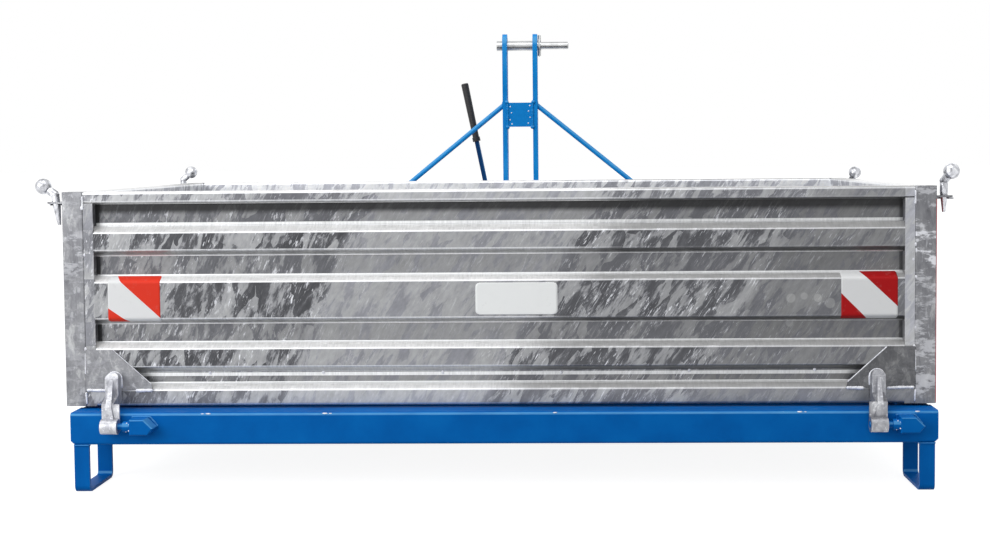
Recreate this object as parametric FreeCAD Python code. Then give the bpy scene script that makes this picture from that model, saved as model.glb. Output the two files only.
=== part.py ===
import FreeCAD, Part

import math
import os

# Tipping transport box for a tractor's three-point hitch.
# Millimetres. +X is to the right and +Y towards the tractor, seen from behind the box; +Z is up.
# The sizes below are measured from the middle of the boards across, the middle of the platform
# lengthwise, and floor level. At the end everything is shifted along Y so that the origin is the
# middle of the underside of the whole box.

# --- Platform ---------------------------------------------------------------------------------
PLATFORM_WIDTH = 1600.0
PLATFORM_DEPTH = 1000.0
FRAME_SHIFT = 8.0
FOOT_HEIGHT = 89.0
BEAM_DEPTH = 60.0
BEAM_HEIGHT = 60.0
BEAM_WALL = 4.0
BEAM_BEND = 6.0
BEAM_END_CHAMFER = 8.0
FLOOR_SHEET = 3.0
CROSS_MEMBER_GAP = 320.0
BAR_WIDTH = 28.0
BAR_THICKNESS = 6.0
BAR_BEND = 13.0
FOOT_INSET = 6.0
REAR_FOOT_DEPTH = 133.0

# --- Boards -----------------------------------------------------------------------------------
BOARD_OVERHANG = 15.0
BOARD_SETBACK = 45.0
BOARD_HEIGHT = 404.0
BOARD_DEPTH = 40.0
BOARD_SHEET = 3.0
RIM_HEIGHT = 21.6
BOARD_BEND = 5.5
RECESS_DEPTH = 20.0
RIB_SLOPE = 10.0
RIB_BANDS = ((76.0, 111.0), (169.0, 240.0), (295.0, 331.0))
BOTTOM_RAIL = 31.0
STILE_WIDTH = 18.5
POST_WIDTH = 40.0
POST_WALL = 3.0
POST_BEND = 3.0
MOVING_GAP = 5.0

# --- Tailgate hinges --------------------------------------------------------------------------
HINGE_INSET = 96.5
HINGE_SHIFT = 8.0
HINGE_PIN_RADIUS = 6.0
HINGE_PIN_HEIGHT = 38.0
HINGE_CLEARANCE = 0.3
EYE_RADIUS = 14.0
EYE_WIDTH = 31.0
STRAP_WIDTH = 26.0
STRAP_FOOT_WIDTH = 33.0
STRAP_OFFSET = 9.0
STRAP_FOOT_OFFSET = 1.5
STRAP_WALL = 5.0
STRAP_DEPTH = 20.0
STRAP_HEAD = 65.0
STRAP_HEAD_BEND = 10.0
STRAP_ROUND = 11.0
STRAP_EDGE = 2.5
LEDGE_RISE = 8.0
LEDGE_SLOPE = 12.0
STRAP_RIB_WIDTH = 6.0
STRAP_RIB_FOOT_WIDTH = 14.0
STRAP_RIB_DROP = 2.0
STRAP_RIB_RISE = 4.0
GUSSET_THICKNESS = 4.0
GUSSET_TOP_WIDTH = 50.0
GUSSET_FOOT_WIDTH = 124.0
GUSSET_BASE = 31.0
GUSSET_HEIGHT = 76.0
GUSSET_TOE = 9.0
GUSSET_TOE_STEP = 2.0
BLOCK_GAP = 9.5
BLOCK_BOSS = 13.0
BLOCK_LENGTH = 44.0
BLOCK_HEIGHT = 29.0
BLOCK_DEPTH = 30.0
BLOCK_BEVEL = 10.0
BLOCK_TOP_BEVEL = 17.0
BLOCK_NOSE_DROP = 2.0
BLOCK_EDGE = 2.5
BOSS_WALL = 4.0
PIN_STUB = 1.0

# --- Corner drop pins -------------------------------------------------------------------------
TAB_DROP = 18.6
TAB_THICKNESS = 3.0
TAB_RADIUS = 16.0
TAB_REACH = 17.0
PIN_TOP_RADIUS = 7.5
PIN_TIP_RADIUS = 3.0
PIN_LENGTH = 58.0
PIN_SHANK = 21.0
PIN_CLEARANCE = 0.35
NECK_RISE = 18.0
NECK_REACH = 20.0
NECK_RADIUS = 8.0
BALL_RADIUS = 15.0
PIN_TILT = 7.0
PIN_DEEP = 14.0
PIN_SHALLOW = 27.0
REAR_RIGHT_SWIVEL = -62.0
FRONT_LEFT_SWIVEL = 180.0
FRONT_RIGHT_SWIVEL = 78.0
KEEPER_DROP = 0.8
KEEPER_THICKNESS = 3.0
KEEPER_HORN = 8.0
KEEPER_ROOT = 30.0
KEEPER_STANDOFF = 1.0

# --- Hitch frame ------------------------------------------------------------------------------
HITCH_GAP = 12.0
HITCH_HEIGHT = 610.0
LOWER_PIN_Z = 294.0
LOWER_PIN_RADIUS = 14.0
LOWER_SPREAD = 825.0
LOWER_PIN_LENGTH = 67.5
LOWER_SHANK_RADIUS = 16.0
PIN_END_CHAMFER = 2.0
LOWER_PLATE = 10.0
LOWER_PLATE_GAP = 52.5
LOWER_EYE_RADIUS = 34.0
LINCH_HOLE_RADIUS = 6.0
LINCH_HOLE_INSET = 15.5
HITCH_CLEARANCE = 0.3
MAST_GAP = 66.0
MAST_PLATE = 12.0
MAST_DEPTH = 60.0
MAST_TOP = 30.0
MAST_FLARE = 145.0
MAST_HEEL = 30.0
MAST_GUSSET_THICKNESS = 8.0
MAST_GUSSET_HEIGHT = 62.0
MAST_GUSSET_DROP = 148.0
TOP_PIN_RADIUS = 12.7
TOP_PIN_STEP_RADIUS = 9.5
TOP_PIN_STUB = 15.0
TOP_PIN_STEP_OUT = 10.0
TOP_PIN_STEP_LENGTH = 71.0
CLIP_OFFSET = 5.5
CLIP_SHANK_RADIUS = 4.0
CLIP_RING_RADIUS = 26.5
CLIP_WIRE_RADIUS = 2.0
STEP_HOLE_RADIUS = 3.0
STEP_HOLE_INSET = 9.0
BRACE_RADIUS = 6.25
BRACE_DROP = 156.0
BRACE_FOOT_INSET = 20.0

# --- Tipping gear -----------------------------------------------------------------------------
TIP_PIVOT_SETBACK = 170.0
TIP_PIVOT_Z = 61.0
TIP_PIN_RADIUS = 12.5
TIP_CLEARANCE = 0.3
ARM_X = 300.0
ARM_WIDTH = 40.0
ARM_HEIGHT = 44.0
ARM_WALL = 4.0
LUG_THICKNESS = 8.0
TIP_PIN_STUB = 5.0
REST_X = 200.0
REST_WIDTH = 50.0
REST_LENGTH = 60.0
TONGUE_THICKNESS = 8.0
TONGUE_LAP = 45.0
REST_CLEARANCE = 0.3
LATCH_TONGUE_WIDTH = 14.0
LATCH_TONGUE_LENGTH = 105.0
LATCH_PIVOT_X = -8.0
LATCH_PIVOT_RISE = 25.0
LATCH_PIVOT_RADIUS = 8.0
LATCH_HUB_RADIUS = 14.0
LATCH_PLATE = 10.0
LATCH_ARM_WIDTH = 14.0
LATCH_NOSE = 10.0
LATCH_NOSE_HEIGHT = 17.0
LATCH_SET_IN = 28.0
LATCH_BOLT_STUB = 8.0
LEVER_LEAN = 11.4
LEVER_LENGTH = 705.0
LEVER_RADIUS = 6.0
LEVER_HUB_WIDTH = 16.0
GRIP_LENGTH = 155.0
GRIP_TOP_RADIUS = 9.6
GRIP_FOOT_RADIUS = 8.3
GRIP_FLANGE_RADIUS = 10.2
GRIP_FLANGE_LENGTH = 11.0
GRIP_CLEARANCE = 0.2
GRIP_CAP = 5.0
GRIP_EDGE_RADIUS = 3.8

# --- Places worked out from the sizes above ---------------------------------------------------
HALF_WIDTH = PLATFORM_WIDTH / 2
HALF_DEPTH = PLATFORM_DEPTH / 2
BEAM_TOP = FOOT_HEIGHT + BEAM_HEIGHT
FLOOR_TOP = BEAM_TOP + FLOOR_SHEET
BOARD_X = HALF_WIDTH + BOARD_OVERHANG
BOARD_Y = HALF_DEPTH - BOARD_SETBACK
BOARD_BASE = BEAM_TOP + MOVING_GAP
RIM_Z = BOARD_BASE + BOARD_HEIGHT
TAILGATE_INNER_Y = -BOARD_Y + BOARD_DEPTH
HINGE_X = HALF_WIDTH - HINGE_INSET
HINGE_Y = -HALF_DEPTH - MOVING_GAP - EYE_RADIUS
HINGE_Z = FOOT_HEIGHT + HINGE_PIN_HEIGHT
PIN_X = BOARD_X + TAB_REACH
PIN_Y = BOARD_Y - BOARD_DEPTH / 2
TAB_TOP = RIM_Z - TAB_DROP
CROSS_Y0 = HALF_DEPTH + HITCH_GAP
CROSS_Y1 = CROSS_Y0 + BEAM_DEPTH
MAST_INNER_X = MAST_GAP / 2
MAST_OUTER_X = MAST_INNER_X + MAST_PLATE
MAST_Y1 = CROSS_Y1 + MAST_DEPTH
TOP_PIN_Y = CROSS_Y1 + MAST_DEPTH / 2
TOP_PIN_Z = LOWER_PIN_Z + HITCH_HEIGHT
LOWER_PIN_Y = CROSS_Y1 + LOWER_EYE_RADIUS
SHOULDER_X = LOWER_SPREAD / 2
TIP_Y = -TIP_PIVOT_SETBACK
LATCH_Z = FOOT_HEIGHT + LATCH_PIVOT_RISE
LATCH_BOLT_Y = MAST_Y1 + MOVING_GAP + LEVER_HUB_WIDTH + LATCH_BOLT_STUB
TOLERANCE = 0.001


def vec(x, y, z):
    return FreeCAD.Vector(x, y, z)


def block(x0, x1, y0, y1, z0, z1):
    """A rectangular block between two corners, given in any order."""
    size = (abs(x1 - x0), abs(y1 - y0), abs(z1 - z0))
    return Part.makeBox(*size, vec(min(x0, x1), min(y0, y1), min(z0, z1)))


def prism(corners, direction):
    """A polygon pushed along a direction."""
    return Part.Face(Part.makePolygon(corners + corners[:1])).extrude(direction)


def prism_x(outline, x0, x1):
    """An outline of (y, z) points pushed from x0 to x1."""
    return prism([vec(x0, y, z) for y, z in outline], vec(x1 - x0, 0, 0))


def prism_y(outline, y0, y1):
    """An outline of (x, z) points pushed from y0 to y1."""
    return prism([vec(x, y0, z) for x, z in outline], vec(0, y1 - y0, 0))


def prism_z(outline, z0, z1):
    """An outline of (x, y) points pushed from z0 to z1."""
    return prism([vec(x, y, z0) for x, y in outline], vec(0, 0, z1 - z0))


def rod(start, end, radius):
    """A round bar between two points."""
    run = end - start
    return Part.makeCylinder(radius, run.Length, start, run)


def rod_x(x0, x1, y, z, radius):
    return rod(vec(x0, y, z), vec(x1, y, z), radius)


def joined(shapes):
    """Several shapes welded into one, with flush faces merged."""
    return shapes[0].multiFuse(shapes[1:]).removeSplitter()


def mirrored(shape):
    """The same piece on the other side of the YZ plane."""
    return shape.mirror(vec(0, 0, 0), vec(1, 0, 0))


def rounded(shape, radius, wanted):
    """Fillet the edges whose middle point passes the test."""
    edges = [edge for edge in shape.Edges if wanted(edge, edge.CenterOfMass)]
    return shape.makeFillet(radius, edges)


def near(a, b):
    return abs(a - b) < TOLERANCE


def runs_along(edge, axis):
    """True for a straight edge along one of the frame's axes."""
    if not isinstance(edge.Curve, Part.Line):
        return False
    return near(abs(edge.Curve.Direction.dot(axis)), 1)


def bent_outline(corners, direction):
    """A closed outline of (point, radius) corners pushed along a direction, its corners rounded."""
    starts, ends, arcs = [], [], []
    points = [point for point, radius in corners]
    for before, (point, radius), after in zip(points[-1:] + points, corners, points[1:] + points[:1]):
        back = (before - point).normalize()
        ahead = (after - point).normalize()
        if radius:
            half = back.getAngle(ahead) / 2
            run = radius / math.tan(half)
            start, end = point + back * run, point + ahead * run
            middle = (back + ahead).normalize() * (radius / math.sin(half) - radius)
            arcs.append(Part.Arc(start, point + middle, end).toShape())
        else:
            start = end = point
        starts.append(start)
        ends.append(end)
    edges = list(arcs)
    for end, start in zip(ends, starts[1:] + starts[:1]):
        edges.append(Part.makeLine(end, start))
    wire = Part.Wire(Part.__sortEdges__(edges))
    return Part.Face(wire).extrude(direction)


def folded_sheet(line, thickness, bend, x0, x1):
    """A bent sheet from x0 to x1 that lies to the left of a line of (y, z) points.

    bend is the radius on the outside of each bend; inside it is less by the sheet's thickness."""
    normals = []
    for (y0, z0), (y1, z1) in zip(line, line[1:]):
        length = math.hypot(y1 - y0, z1 - z0)
        normals.append(((z0 - z1) / length, (y1 - y0) / length))
    near_side, far_side = [], []
    for (y, z), (na, nb), (ma, mb) in zip(line, normals[:1] + normals, normals + normals[-1:]):
        turn = na * mb - nb * ma
        stretch = thickness / (1 + na * ma + nb * mb)
        far_point = vec(x0, y + (na + ma) * stretch, z + (nb + mb) * stretch)
        if near(turn, 0):
            near_radius = far_radius = 0
        elif turn > 0:
            near_radius, far_radius = bend, bend - thickness
        else:
            near_radius, far_radius = bend - thickness, bend
        near_side.append((vec(x0, y, z), near_radius))
        far_side.append((far_point, far_radius))
    return bent_outline(near_side + far_side[::-1], vec(x1 - x0, 0, 0))


# --- Boards -----------------------------------------------------------------------------------

def board_line(base):
    """Outer face of a board's section as (depth from the outer face, height), from rim to foot."""
    rim_foot = RIM_Z - RIM_HEIGHT
    rail_top = base + BOTTOM_RAIL
    line = [(BOARD_DEPTH, rim_foot), (BOARD_DEPTH, RIM_Z), (0.0, RIM_Z), (0.0, rim_foot)]
    line.append((RECESS_DEPTH, rim_foot))
    for top, foot in RIB_BANDS:
        line.append((RECESS_DEPTH, RIM_Z - top + RIB_SLOPE))
        line.append((0.0, RIM_Z - top))
        line.append((0.0, RIM_Z - foot))
        line.append((RECESS_DEPTH, RIM_Z - foot - RIB_SLOPE))
    line.append((RECESS_DEPTH, rail_top + RIB_SLOPE))
    line.append((0.0, rail_top))
    line.append((0.0, base))
    line.append((BOARD_DEPTH, base))
    line.append((BOARD_DEPTH, base + RIM_HEIGHT))
    return line


def ribbed_panel(half_length, base):
    """A folded board standing along X, its outer face at y = 0 and its inner side towards +Y."""
    sheet = folded_sheet(board_line(base), BOARD_SHEET, BOARD_BEND, -half_length, half_length)
    stiles = []
    for side in (-1, 1):
        end = side * half_length
        inner = side * (half_length - STILE_WIDTH)
        top = RIM_Z - RIM_HEIGHT
        stile = block(inner, end, 0, BOARD_DEPTH, base, top)
        hollow = block(inner, end - side * BOARD_SHEET, BOARD_SHEET,
                       BOARD_DEPTH - BOARD_SHEET, base + BOARD_SHEET, top - BOARD_SHEET)
        stiles.append(stile.cut(hollow))
    return joined([sheet] + stiles)


def corner_post(base, hole_radius):
    """The post at a board's right end, its outer face at y = 0, with the drop pin's tab."""
    x0 = BOARD_X - POST_WIDTH
    post = block(x0, BOARD_X, 0, BOARD_DEPTH, base, RIM_Z)
    post = rounded(post, POST_BEND, lambda edge, middle: runs_along(edge, vec(0, 0, 1)))
    post = post.cut(block(x0 + POST_WALL, BOARD_X - POST_WALL, POST_WALL, BOARD_DEPTH - POST_WALL,
                          base, RIM_Z - POST_WALL))
    centre = vec(PIN_X, BOARD_DEPTH / 2, TAB_TOP - TAB_THICKNESS)
    tab = block(BOARD_X - POST_BEND / 2, PIN_X, centre.y - TAB_RADIUS, centre.y + TAB_RADIUS,
                centre.z, TAB_TOP)
    tab = tab.fuse(Part.makeCylinder(TAB_RADIUS, TAB_THICKNESS, centre))
    post = joined([post, tab])
    return post.cut(Part.makeCylinder(hole_radius, TAB_THICKNESS, centre))


def drop_pin(above, tilt, swivel):
    """A corner pin with a tapered end and a ball handle, in its tab at the rear right corner.

    above is how much of the pin stands over the tab; tilt leans the ball outwards; swivel turns
    it about the pin from straight outwards towards the middle of the box's side."""
    top = vec(0, 0, above)
    shank = rod(top, vec(0, 0, above - PIN_SHANK), PIN_TOP_RADIUS)
    taper = Part.makeCone(PIN_TIP_RADIUS, PIN_TOP_RADIUS, PIN_LENGTH - PIN_SHANK,
                          vec(0, 0, above - PIN_LENGTH))
    ball_at = top + vec(NECK_REACH, 0, NECK_RISE)
    knuckle = Part.makeSphere(NECK_RADIUS, top)
    neck = rod(top, ball_at, NECK_RADIUS)
    ball = Part.makeSphere(BALL_RADIUS, ball_at)
    pin = joined([taper, shank, knuckle, neck, ball])
    pin.rotate(vec(0, 0, 0), vec(0, 0, 1), swivel)
    pin.rotate(vec(0, 0, 0), vec(0, 1, 0), tilt)
    pin.translate(vec(PIN_X, -PIN_Y, TAB_TOP))
    return pin


def pin_hole(above, tilt):
    """Radius of the tab's hole that the pin sits in with its clearance."""
    share = max(0.0, above - PIN_SHANK) / (PIN_LENGTH - PIN_SHANK)
    radius = PIN_TOP_RADIUS - (PIN_TOP_RADIUS - PIN_TIP_RADIUS) * share
    lean = TAB_THICKNESS * math.tan(math.radians(tilt))
    return radius + lean + PIN_CLEARANCE


def turned_to_front(shape):
    """A rear piece as it stands on the front board, turned half round."""
    turned = shape.copy()
    turned.rotate(vec(0, 0, 0), vec(0, 0, 1), 180)
    return turned


def rear_placed(shape):
    """Move a board piece drawn at y = 0 to the tailgate's outer face."""
    return shape.translated(vec(0, -BOARD_Y, 0))


def gusset():
    """Corner plate on the tailgate's lower right corner."""
    outer = BOARD_X - POST_WIDTH
    foot = BOARD_BASE + GUSSET_BASE
    top = foot + GUSSET_HEIGHT
    outline = [(outer, top), (outer - GUSSET_TOP_WIDTH, top),
               (outer - GUSSET_FOOT_WIDTH, foot + GUSSET_TOE),
               (outer - GUSSET_FOOT_WIDTH - GUSSET_TOE_STEP, foot), (outer, foot)]
    return prism_y(outline, -BOARD_Y - GUSSET_THICKNESS, -BOARD_Y)


def hinge_arm(x, side):
    """Pressed channel with a stiffening rib and an eye, from the gusset down to the hinge pin.

    x is the eye's middle; the upper part stands further out, to the left or right as side says."""
    upper_x = x + side * STRAP_OFFSET
    lower_x = x + side * STRAP_FOOT_OFFSET
    half = STRAP_WIDTH / 2
    foot_half = STRAP_FOOT_WIDTH / 2
    foot_y = -BOARD_Y - GUSSET_THICKNESS
    upper_y = foot_y - STRAP_DEPTH
    lower_y = HINGE_Y + EYE_RADIUS - STRAP_WALL
    ledge = BOARD_BASE + LEDGE_RISE
    ledge_top = ledge + STRAP_WALL
    head = BOARD_BASE + STRAP_HEAD
    shell = block(upper_x - half, upper_x + half, upper_y, foot_y, ledge, head)
    shell = rounded(shell, STRAP_ROUND, lambda edge, middle: runs_along(edge, vec(0, 1, 0))
                    and near(middle.z, head))
    shell = rounded(shell, STRAP_EDGE, lambda edge, middle: near(middle.y, upper_y)
                    and middle.z > ledge + STRAP_EDGE and runs_along(edge, vec(0, 0, 1)))
    slope = prism_x([(upper_y, head), (upper_y, head - STRAP_HEAD_BEND),
                     (upper_y + STRAP_HEAD_BEND, head)], upper_x - half, upper_x + half)
    room = block(upper_x - half + STRAP_WALL, upper_x + half - STRAP_WALL, upper_y + STRAP_WALL,
                 foot_y, ledge_top, head - STRAP_HEAD_BEND)
    plate = block(lower_x - foot_half, lower_x + foot_half, lower_y, lower_y + STRAP_WALL, HINGE_Z, ledge_top)
    wedge = prism_x([(lower_y, ledge), (lower_y, ledge_top), (upper_y, ledge_top + LEDGE_SLOPE),
                     (foot_y, ledge_top), (foot_y, ledge)],
                    max(upper_x - half, lower_x - foot_half), min(upper_x + half, lower_x + foot_half))
    eye = rod_x(x - EYE_WIDTH / 2, x + EYE_WIDTH / 2, HINGE_Y, HINGE_Z, EYE_RADIUS)
    rib_foot = HINGE_Z + EYE_RADIUS / 2
    rib_top = head - STRAP_HEAD_BEND - STRAP_RIB_DROP
    rib_y = lower_y - STRAP_RIB_RISE
    rib = prism_x([(upper_y, rib_top), (rib_y, ledge), (rib_y, rib_foot), (lower_y, rib_foot),
                   (lower_y, ledge), (upper_y, ledge)], x - EYE_WIDTH, x + EYE_WIDTH)
    top_half = STRAP_RIB_WIDTH / 2
    flare = STRAP_RIB_FOOT_WIDTH / 2
    rib = rib.common(prism_y([(upper_x - top_half, rib_top), (upper_x + top_half, rib_top),
                              (lower_x + flare, rib_foot), (lower_x - flare, rib_foot)],
                             rib_y, upper_y))
    arm = joined([shell.cut(slope).cut(room), plate, wedge, eye, rib])
    return arm.cut(rod_x(x - EYE_WIDTH, x + EYE_WIDTH, HINGE_Y, HINGE_Z,
                         HINGE_PIN_RADIUS + HINGE_CLEARANCE))


def hinge_block(x):
    """Bevelled block on the rear beam with the pin that the hinge arm at x turns on."""
    boss_x = x + EYE_WIDTH / 2 + BLOCK_GAP
    body_x = boss_x + BLOCK_BOSS
    end_x = body_x + BLOCK_LENGTH
    foot = HINGE_Z - BLOCK_HEIGHT / 2
    top = HINGE_Z + BLOCK_HEIGHT / 2
    back = -HALF_DEPTH - BLOCK_DEPTH
    body = prism_y([(body_x, foot), (end_x - BLOCK_BEVEL, foot), (end_x, HINGE_Z - BLOCK_NOSE_DROP),
                    (end_x - BLOCK_TOP_BEVEL, top), (body_x, top)], back, -HALF_DEPTH)
    body = rounded(body, BLOCK_EDGE, lambda edge, middle: near(middle.y, back))
    boss = rod_x(boss_x, body_x, HINGE_Y, HINGE_Z, HINGE_PIN_RADIUS + BOSS_WALL)
    pin = rod_x(x - EYE_WIDTH / 2 - PIN_STUB, body_x, HINGE_Y, HINGE_Z, HINGE_PIN_RADIUS)
    return joined([body, boss, pin])


def keeper():
    """Hooked plate on the rear right of the side board, just under the tailgate's tab."""
    z1 = TAB_TOP - TAB_THICKNESS - KEEPER_DROP
    inner = BOARD_X
    clear = BOARD_X + MOVING_GAP
    outer = PIN_X + TAB_RADIUS
    horn = outer - KEEPER_HORN
    root = TAILGATE_INNER_Y + KEEPER_ROOT
    stop = -PIN_Y + PIN_TOP_RADIUS + KEEPER_STANDOFF
    tip = -PIN_Y - PIN_TOP_RADIUS
    outline = [(inner, root), (outer, root), (outer, tip), (horn, tip), (horn, stop),
               (clear, stop), (clear, TAILGATE_INNER_Y + MOVING_GAP),
               (inner, TAILGATE_INNER_Y + MOVING_GAP)]
    return prism_z(outline, z1 - KEEPER_THICKNESS, z1)


def side_board():
    """Right side board; it ends against the front board and short of the tailgate."""
    y0 = TAILGATE_INNER_Y + MOVING_GAP
    y1 = BOARD_Y - BOARD_DEPTH
    panel = ribbed_panel((y1 - y0) / 2, FLOOR_TOP)
    panel.rotate(vec(0, 0, 0), vec(0, 0, 1), 90)
    panel.translate(vec(BOARD_X, (y0 + y1) / 2, 0))
    return panel


# --- Platform ---------------------------------------------------------------------------------

def channel(length):
    """A folded beam along X, its web at y = 0 and open towards +Y, with plated, cut-off ends."""
    half = length / 2
    beam = block(-half, half, 0, BEAM_DEPTH, FOOT_HEIGHT, BEAM_TOP)
    beam = rounded(beam, BEAM_BEND, lambda edge, middle: runs_along(edge, vec(1, 0, 0))
                   and near(middle.y, 0))
    inside = BEAM_WALL
    return beam.cut(block(-half + inside, half - inside, inside, BEAM_DEPTH,
                          FOOT_HEIGHT + inside, BEAM_TOP - inside))


def end_beam():
    """The rear beam; its lower corners are cut off."""
    beam = channel(PLATFORM_WIDTH)
    for side in (-1, 1):
        corner = [(side * HALF_WIDTH, FOOT_HEIGHT),
                  (side * (HALF_WIDTH - BEAM_END_CHAMFER), FOOT_HEIGHT),
                  (side * HALF_WIDTH, FOOT_HEIGHT + BEAM_END_CHAMFER)]
        beam = beam.cut(prism_y(corner, 0, BEAM_DEPTH))
    return beam.translated(vec(0, -HALF_DEPTH, 0))


def side_beam():
    """Right side beam between the end beams, open towards the middle."""
    beam = channel(PLATFORM_DEPTH - 2 * BEAM_DEPTH)
    beam.rotate(vec(0, 0, 0), vec(0, 0, 1), 90)
    beam.translate(vec(HALF_WIDTH, 0, 0))
    return beam


def cross_members():
    """Square tubes across the platform, one of them over the tipping pivot."""
    half = HALF_WIDTH - BEAM_DEPTH
    tubes = []
    for y in (TIP_Y, TIP_Y + CROSS_MEMBER_GAP):
        tube = block(-half, half, y - BEAM_DEPTH / 2, y + BEAM_DEPTH / 2, FOOT_HEIGHT, BEAM_TOP)
        bore = block(-half, half, y - BEAM_DEPTH / 2 + BEAM_WALL, y + BEAM_DEPTH / 2 - BEAM_WALL,
                     FOOT_HEIGHT + BEAM_WALL, BEAM_TOP - BEAM_WALL)
        tubes.append(tube.cut(bore))
    return Part.makeCompound(tubes)


def bar_foot(y0, y1):
    """A flat bar bent into a U under the right end of a beam."""
    x1 = HALF_WIDTH - FOOT_INSET
    x0 = x1 - BAR_WIDTH
    outer = block(x0, x1, y0, y1, 0, FOOT_HEIGHT)
    inner = block(x0, x1, y0 + BAR_THICKNESS, y1 - BAR_THICKNESS, BAR_THICKNESS, FOOT_HEIGHT)
    lowest = lambda edge, middle: runs_along(edge, vec(1, 0, 0)) and middle.z < BAR_BEND
    outer = rounded(outer, BAR_BEND, lowest)
    return outer.cut(rounded(inner, BAR_BEND - BAR_THICKNESS, lowest))


def pivot_lugs():
    """Two pairs of plates under the rear cross-member, which hold the tipping pins."""
    plates = []
    for side in (-1, 1):
        for face in (-1, 1):
            near_x = side * ARM_X + face * (ARM_WIDTH / 2 + MOVING_GAP)
            far_x = near_x + face * LUG_THICKNESS
            radius = ARM_HEIGHT / 2
            plate = block(near_x, far_x, TIP_Y - radius, TIP_Y + radius, TIP_PIVOT_Z, FOOT_HEIGHT)
            plate = plate.fuse(rod_x(near_x, far_x, TIP_Y, TIP_PIVOT_Z, radius))
            bore = rod_x(near_x, far_x, TIP_Y, TIP_PIVOT_Z, TIP_PIN_RADIUS + TIP_CLEARANCE)
            plates.append(plate.cut(bore).removeSplitter())
    return Part.makeCompound(plates)


def pivot_pin():
    """The right tipping pin, through a lug, the arm's eye and the other lug."""
    reach = ARM_WIDTH / 2 + MOVING_GAP + LUG_THICKNESS + TIP_PIN_STUB
    return rod_x(ARM_X - reach, ARM_X + reach, TIP_Y, TIP_PIVOT_Z, TIP_PIN_RADIUS)


def tongue(x0, x1, length):
    """A plate on the front beam that reaches forward over the hitch frame's beam."""
    z1 = BEAM_TOP + TONGUE_THICKNESS
    end = HALF_DEPTH + length
    outline = [(HALF_DEPTH - TONGUE_LAP, BEAM_TOP), (HALF_DEPTH, BEAM_TOP),
               (HALF_DEPTH, BEAM_TOP + REST_CLEARANCE), (end, BEAM_TOP + REST_CLEARANCE),
               (end, z1), (HALF_DEPTH - TONGUE_LAP, z1)]
    return prism_x(outline, x0, x1)


def latch_tongue():
    x1 = MAST_INNER_X - MOVING_GAP
    return tongue(x1 - LATCH_TONGUE_WIDTH, x1, LATCH_TONGUE_LENGTH)


def rest_tongues():
    half = REST_WIDTH / 2
    return Part.makeCompound([tongue(x - half, x + half, REST_LENGTH) for x in (-REST_X, REST_X)])


# --- Hitch frame ------------------------------------------------------------------------------

def hitch_crossbeam():
    """Square tube in front of the platform, open at its ends."""
    tube = block(-HALF_WIDTH, HALF_WIDTH, CROSS_Y0, CROSS_Y1, FOOT_HEIGHT, BEAM_TOP)
    tube = rounded(tube, BEAM_BEND, lambda edge, middle: runs_along(edge, vec(1, 0, 0)))
    return tube.cut(block(-HALF_WIDTH, HALF_WIDTH, CROSS_Y0 + BEAM_WALL, CROSS_Y1 - BEAM_WALL,
                          FOOT_HEIGHT + BEAM_WALL, BEAM_TOP - BEAM_WALL))


def seated_plate(x0, x1, front_y, eye_y, eye_z, eye_radius, flare):
    """An upright plate that sits over the beam's front edge and ends in a round head."""
    outline = [(CROSS_Y0, BEAM_TOP), (CROSS_Y0, BEAM_TOP + MAST_HEEL), (eye_y - eye_radius, flare),
               (eye_y - eye_radius, eye_z), (eye_y + eye_radius, eye_z), (front_y, FOOT_HEIGHT),
               (CROSS_Y1, FOOT_HEIGHT), (CROSS_Y1, BEAM_TOP)]
    return joined([prism_x(outline, x0, x1), rod_x(x0, x1, eye_y, eye_z, eye_radius)])


def mast_plate():
    """Right mast plate with the hole for the top link pin."""
    head_z = TOP_PIN_Z + MAST_TOP - MAST_DEPTH / 2
    plate = seated_plate(MAST_INNER_X, MAST_OUTER_X, MAST_Y1, TOP_PIN_Y, head_z, MAST_DEPTH / 2,
                         BEAM_TOP + MAST_FLARE)
    return plate.cut(rod_x(MAST_INNER_X, MAST_OUTER_X, TOP_PIN_Y, TOP_PIN_Z,
                           TOP_PIN_RADIUS + HITCH_CLEARANCE))


def mast_gusset():
    """Plate between the mast plates, flush with their rear edges."""
    z1 = TOP_PIN_Z - MAST_GUSSET_DROP
    return block(-MAST_INNER_X, MAST_INNER_X, CROSS_Y1, CROSS_Y1 + MAST_GUSSET_THICKNESS,
                 z1 - MAST_GUSSET_HEIGHT, z1)


def brace():
    """Right brace from the mast plate down to the end of the hitch frame's beam."""
    head = vec(MAST_OUTER_X, CROSS_Y1 + 2 * BRACE_RADIUS, TOP_PIN_Z - BRACE_DROP)
    foot = vec(HALF_WIDTH - BRACE_FOOT_INSET, (CROSS_Y0 + CROSS_Y1) / 2, BEAM_TOP)
    run = (foot - head).normalize() * BEAM_DEPTH
    bar = rod(head - run, foot + run, BRACE_RADIUS)
    room = block(MAST_OUTER_X, HALF_WIDTH, CROSS_Y0, MAST_Y1, BEAM_TOP, TOP_PIN_Z)
    return bar.common(room)


def lower_bracket():
    """Pair of plates that carries the right lower link pin."""
    plates = []
    inner = SHOULDER_X - 2 * LOWER_PLATE - LOWER_PLATE_GAP
    for x0 in (inner, SHOULDER_X - LOWER_PLATE):
        plate = seated_plate(x0, x0 + LOWER_PLATE, MAST_Y1, LOWER_PIN_Y, LOWER_PIN_Z,
                             LOWER_EYE_RADIUS, LOWER_PIN_Z)
        bore = rod_x(x0, x0 + LOWER_PLATE, LOWER_PIN_Y, LOWER_PIN_Z,
                     LOWER_SHANK_RADIUS + HITCH_CLEARANCE)
        plates.append(plate.cut(bore))
    return Part.makeCompound(plates)


def cross_hole(x, y, z, radius):
    """Upright drill through a lengthwise pin."""
    reach = vec(0, 0, LOWER_SHANK_RADIUS)
    centre = vec(x, y, z)
    return rod(centre - reach, centre + reach, radius)


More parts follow.
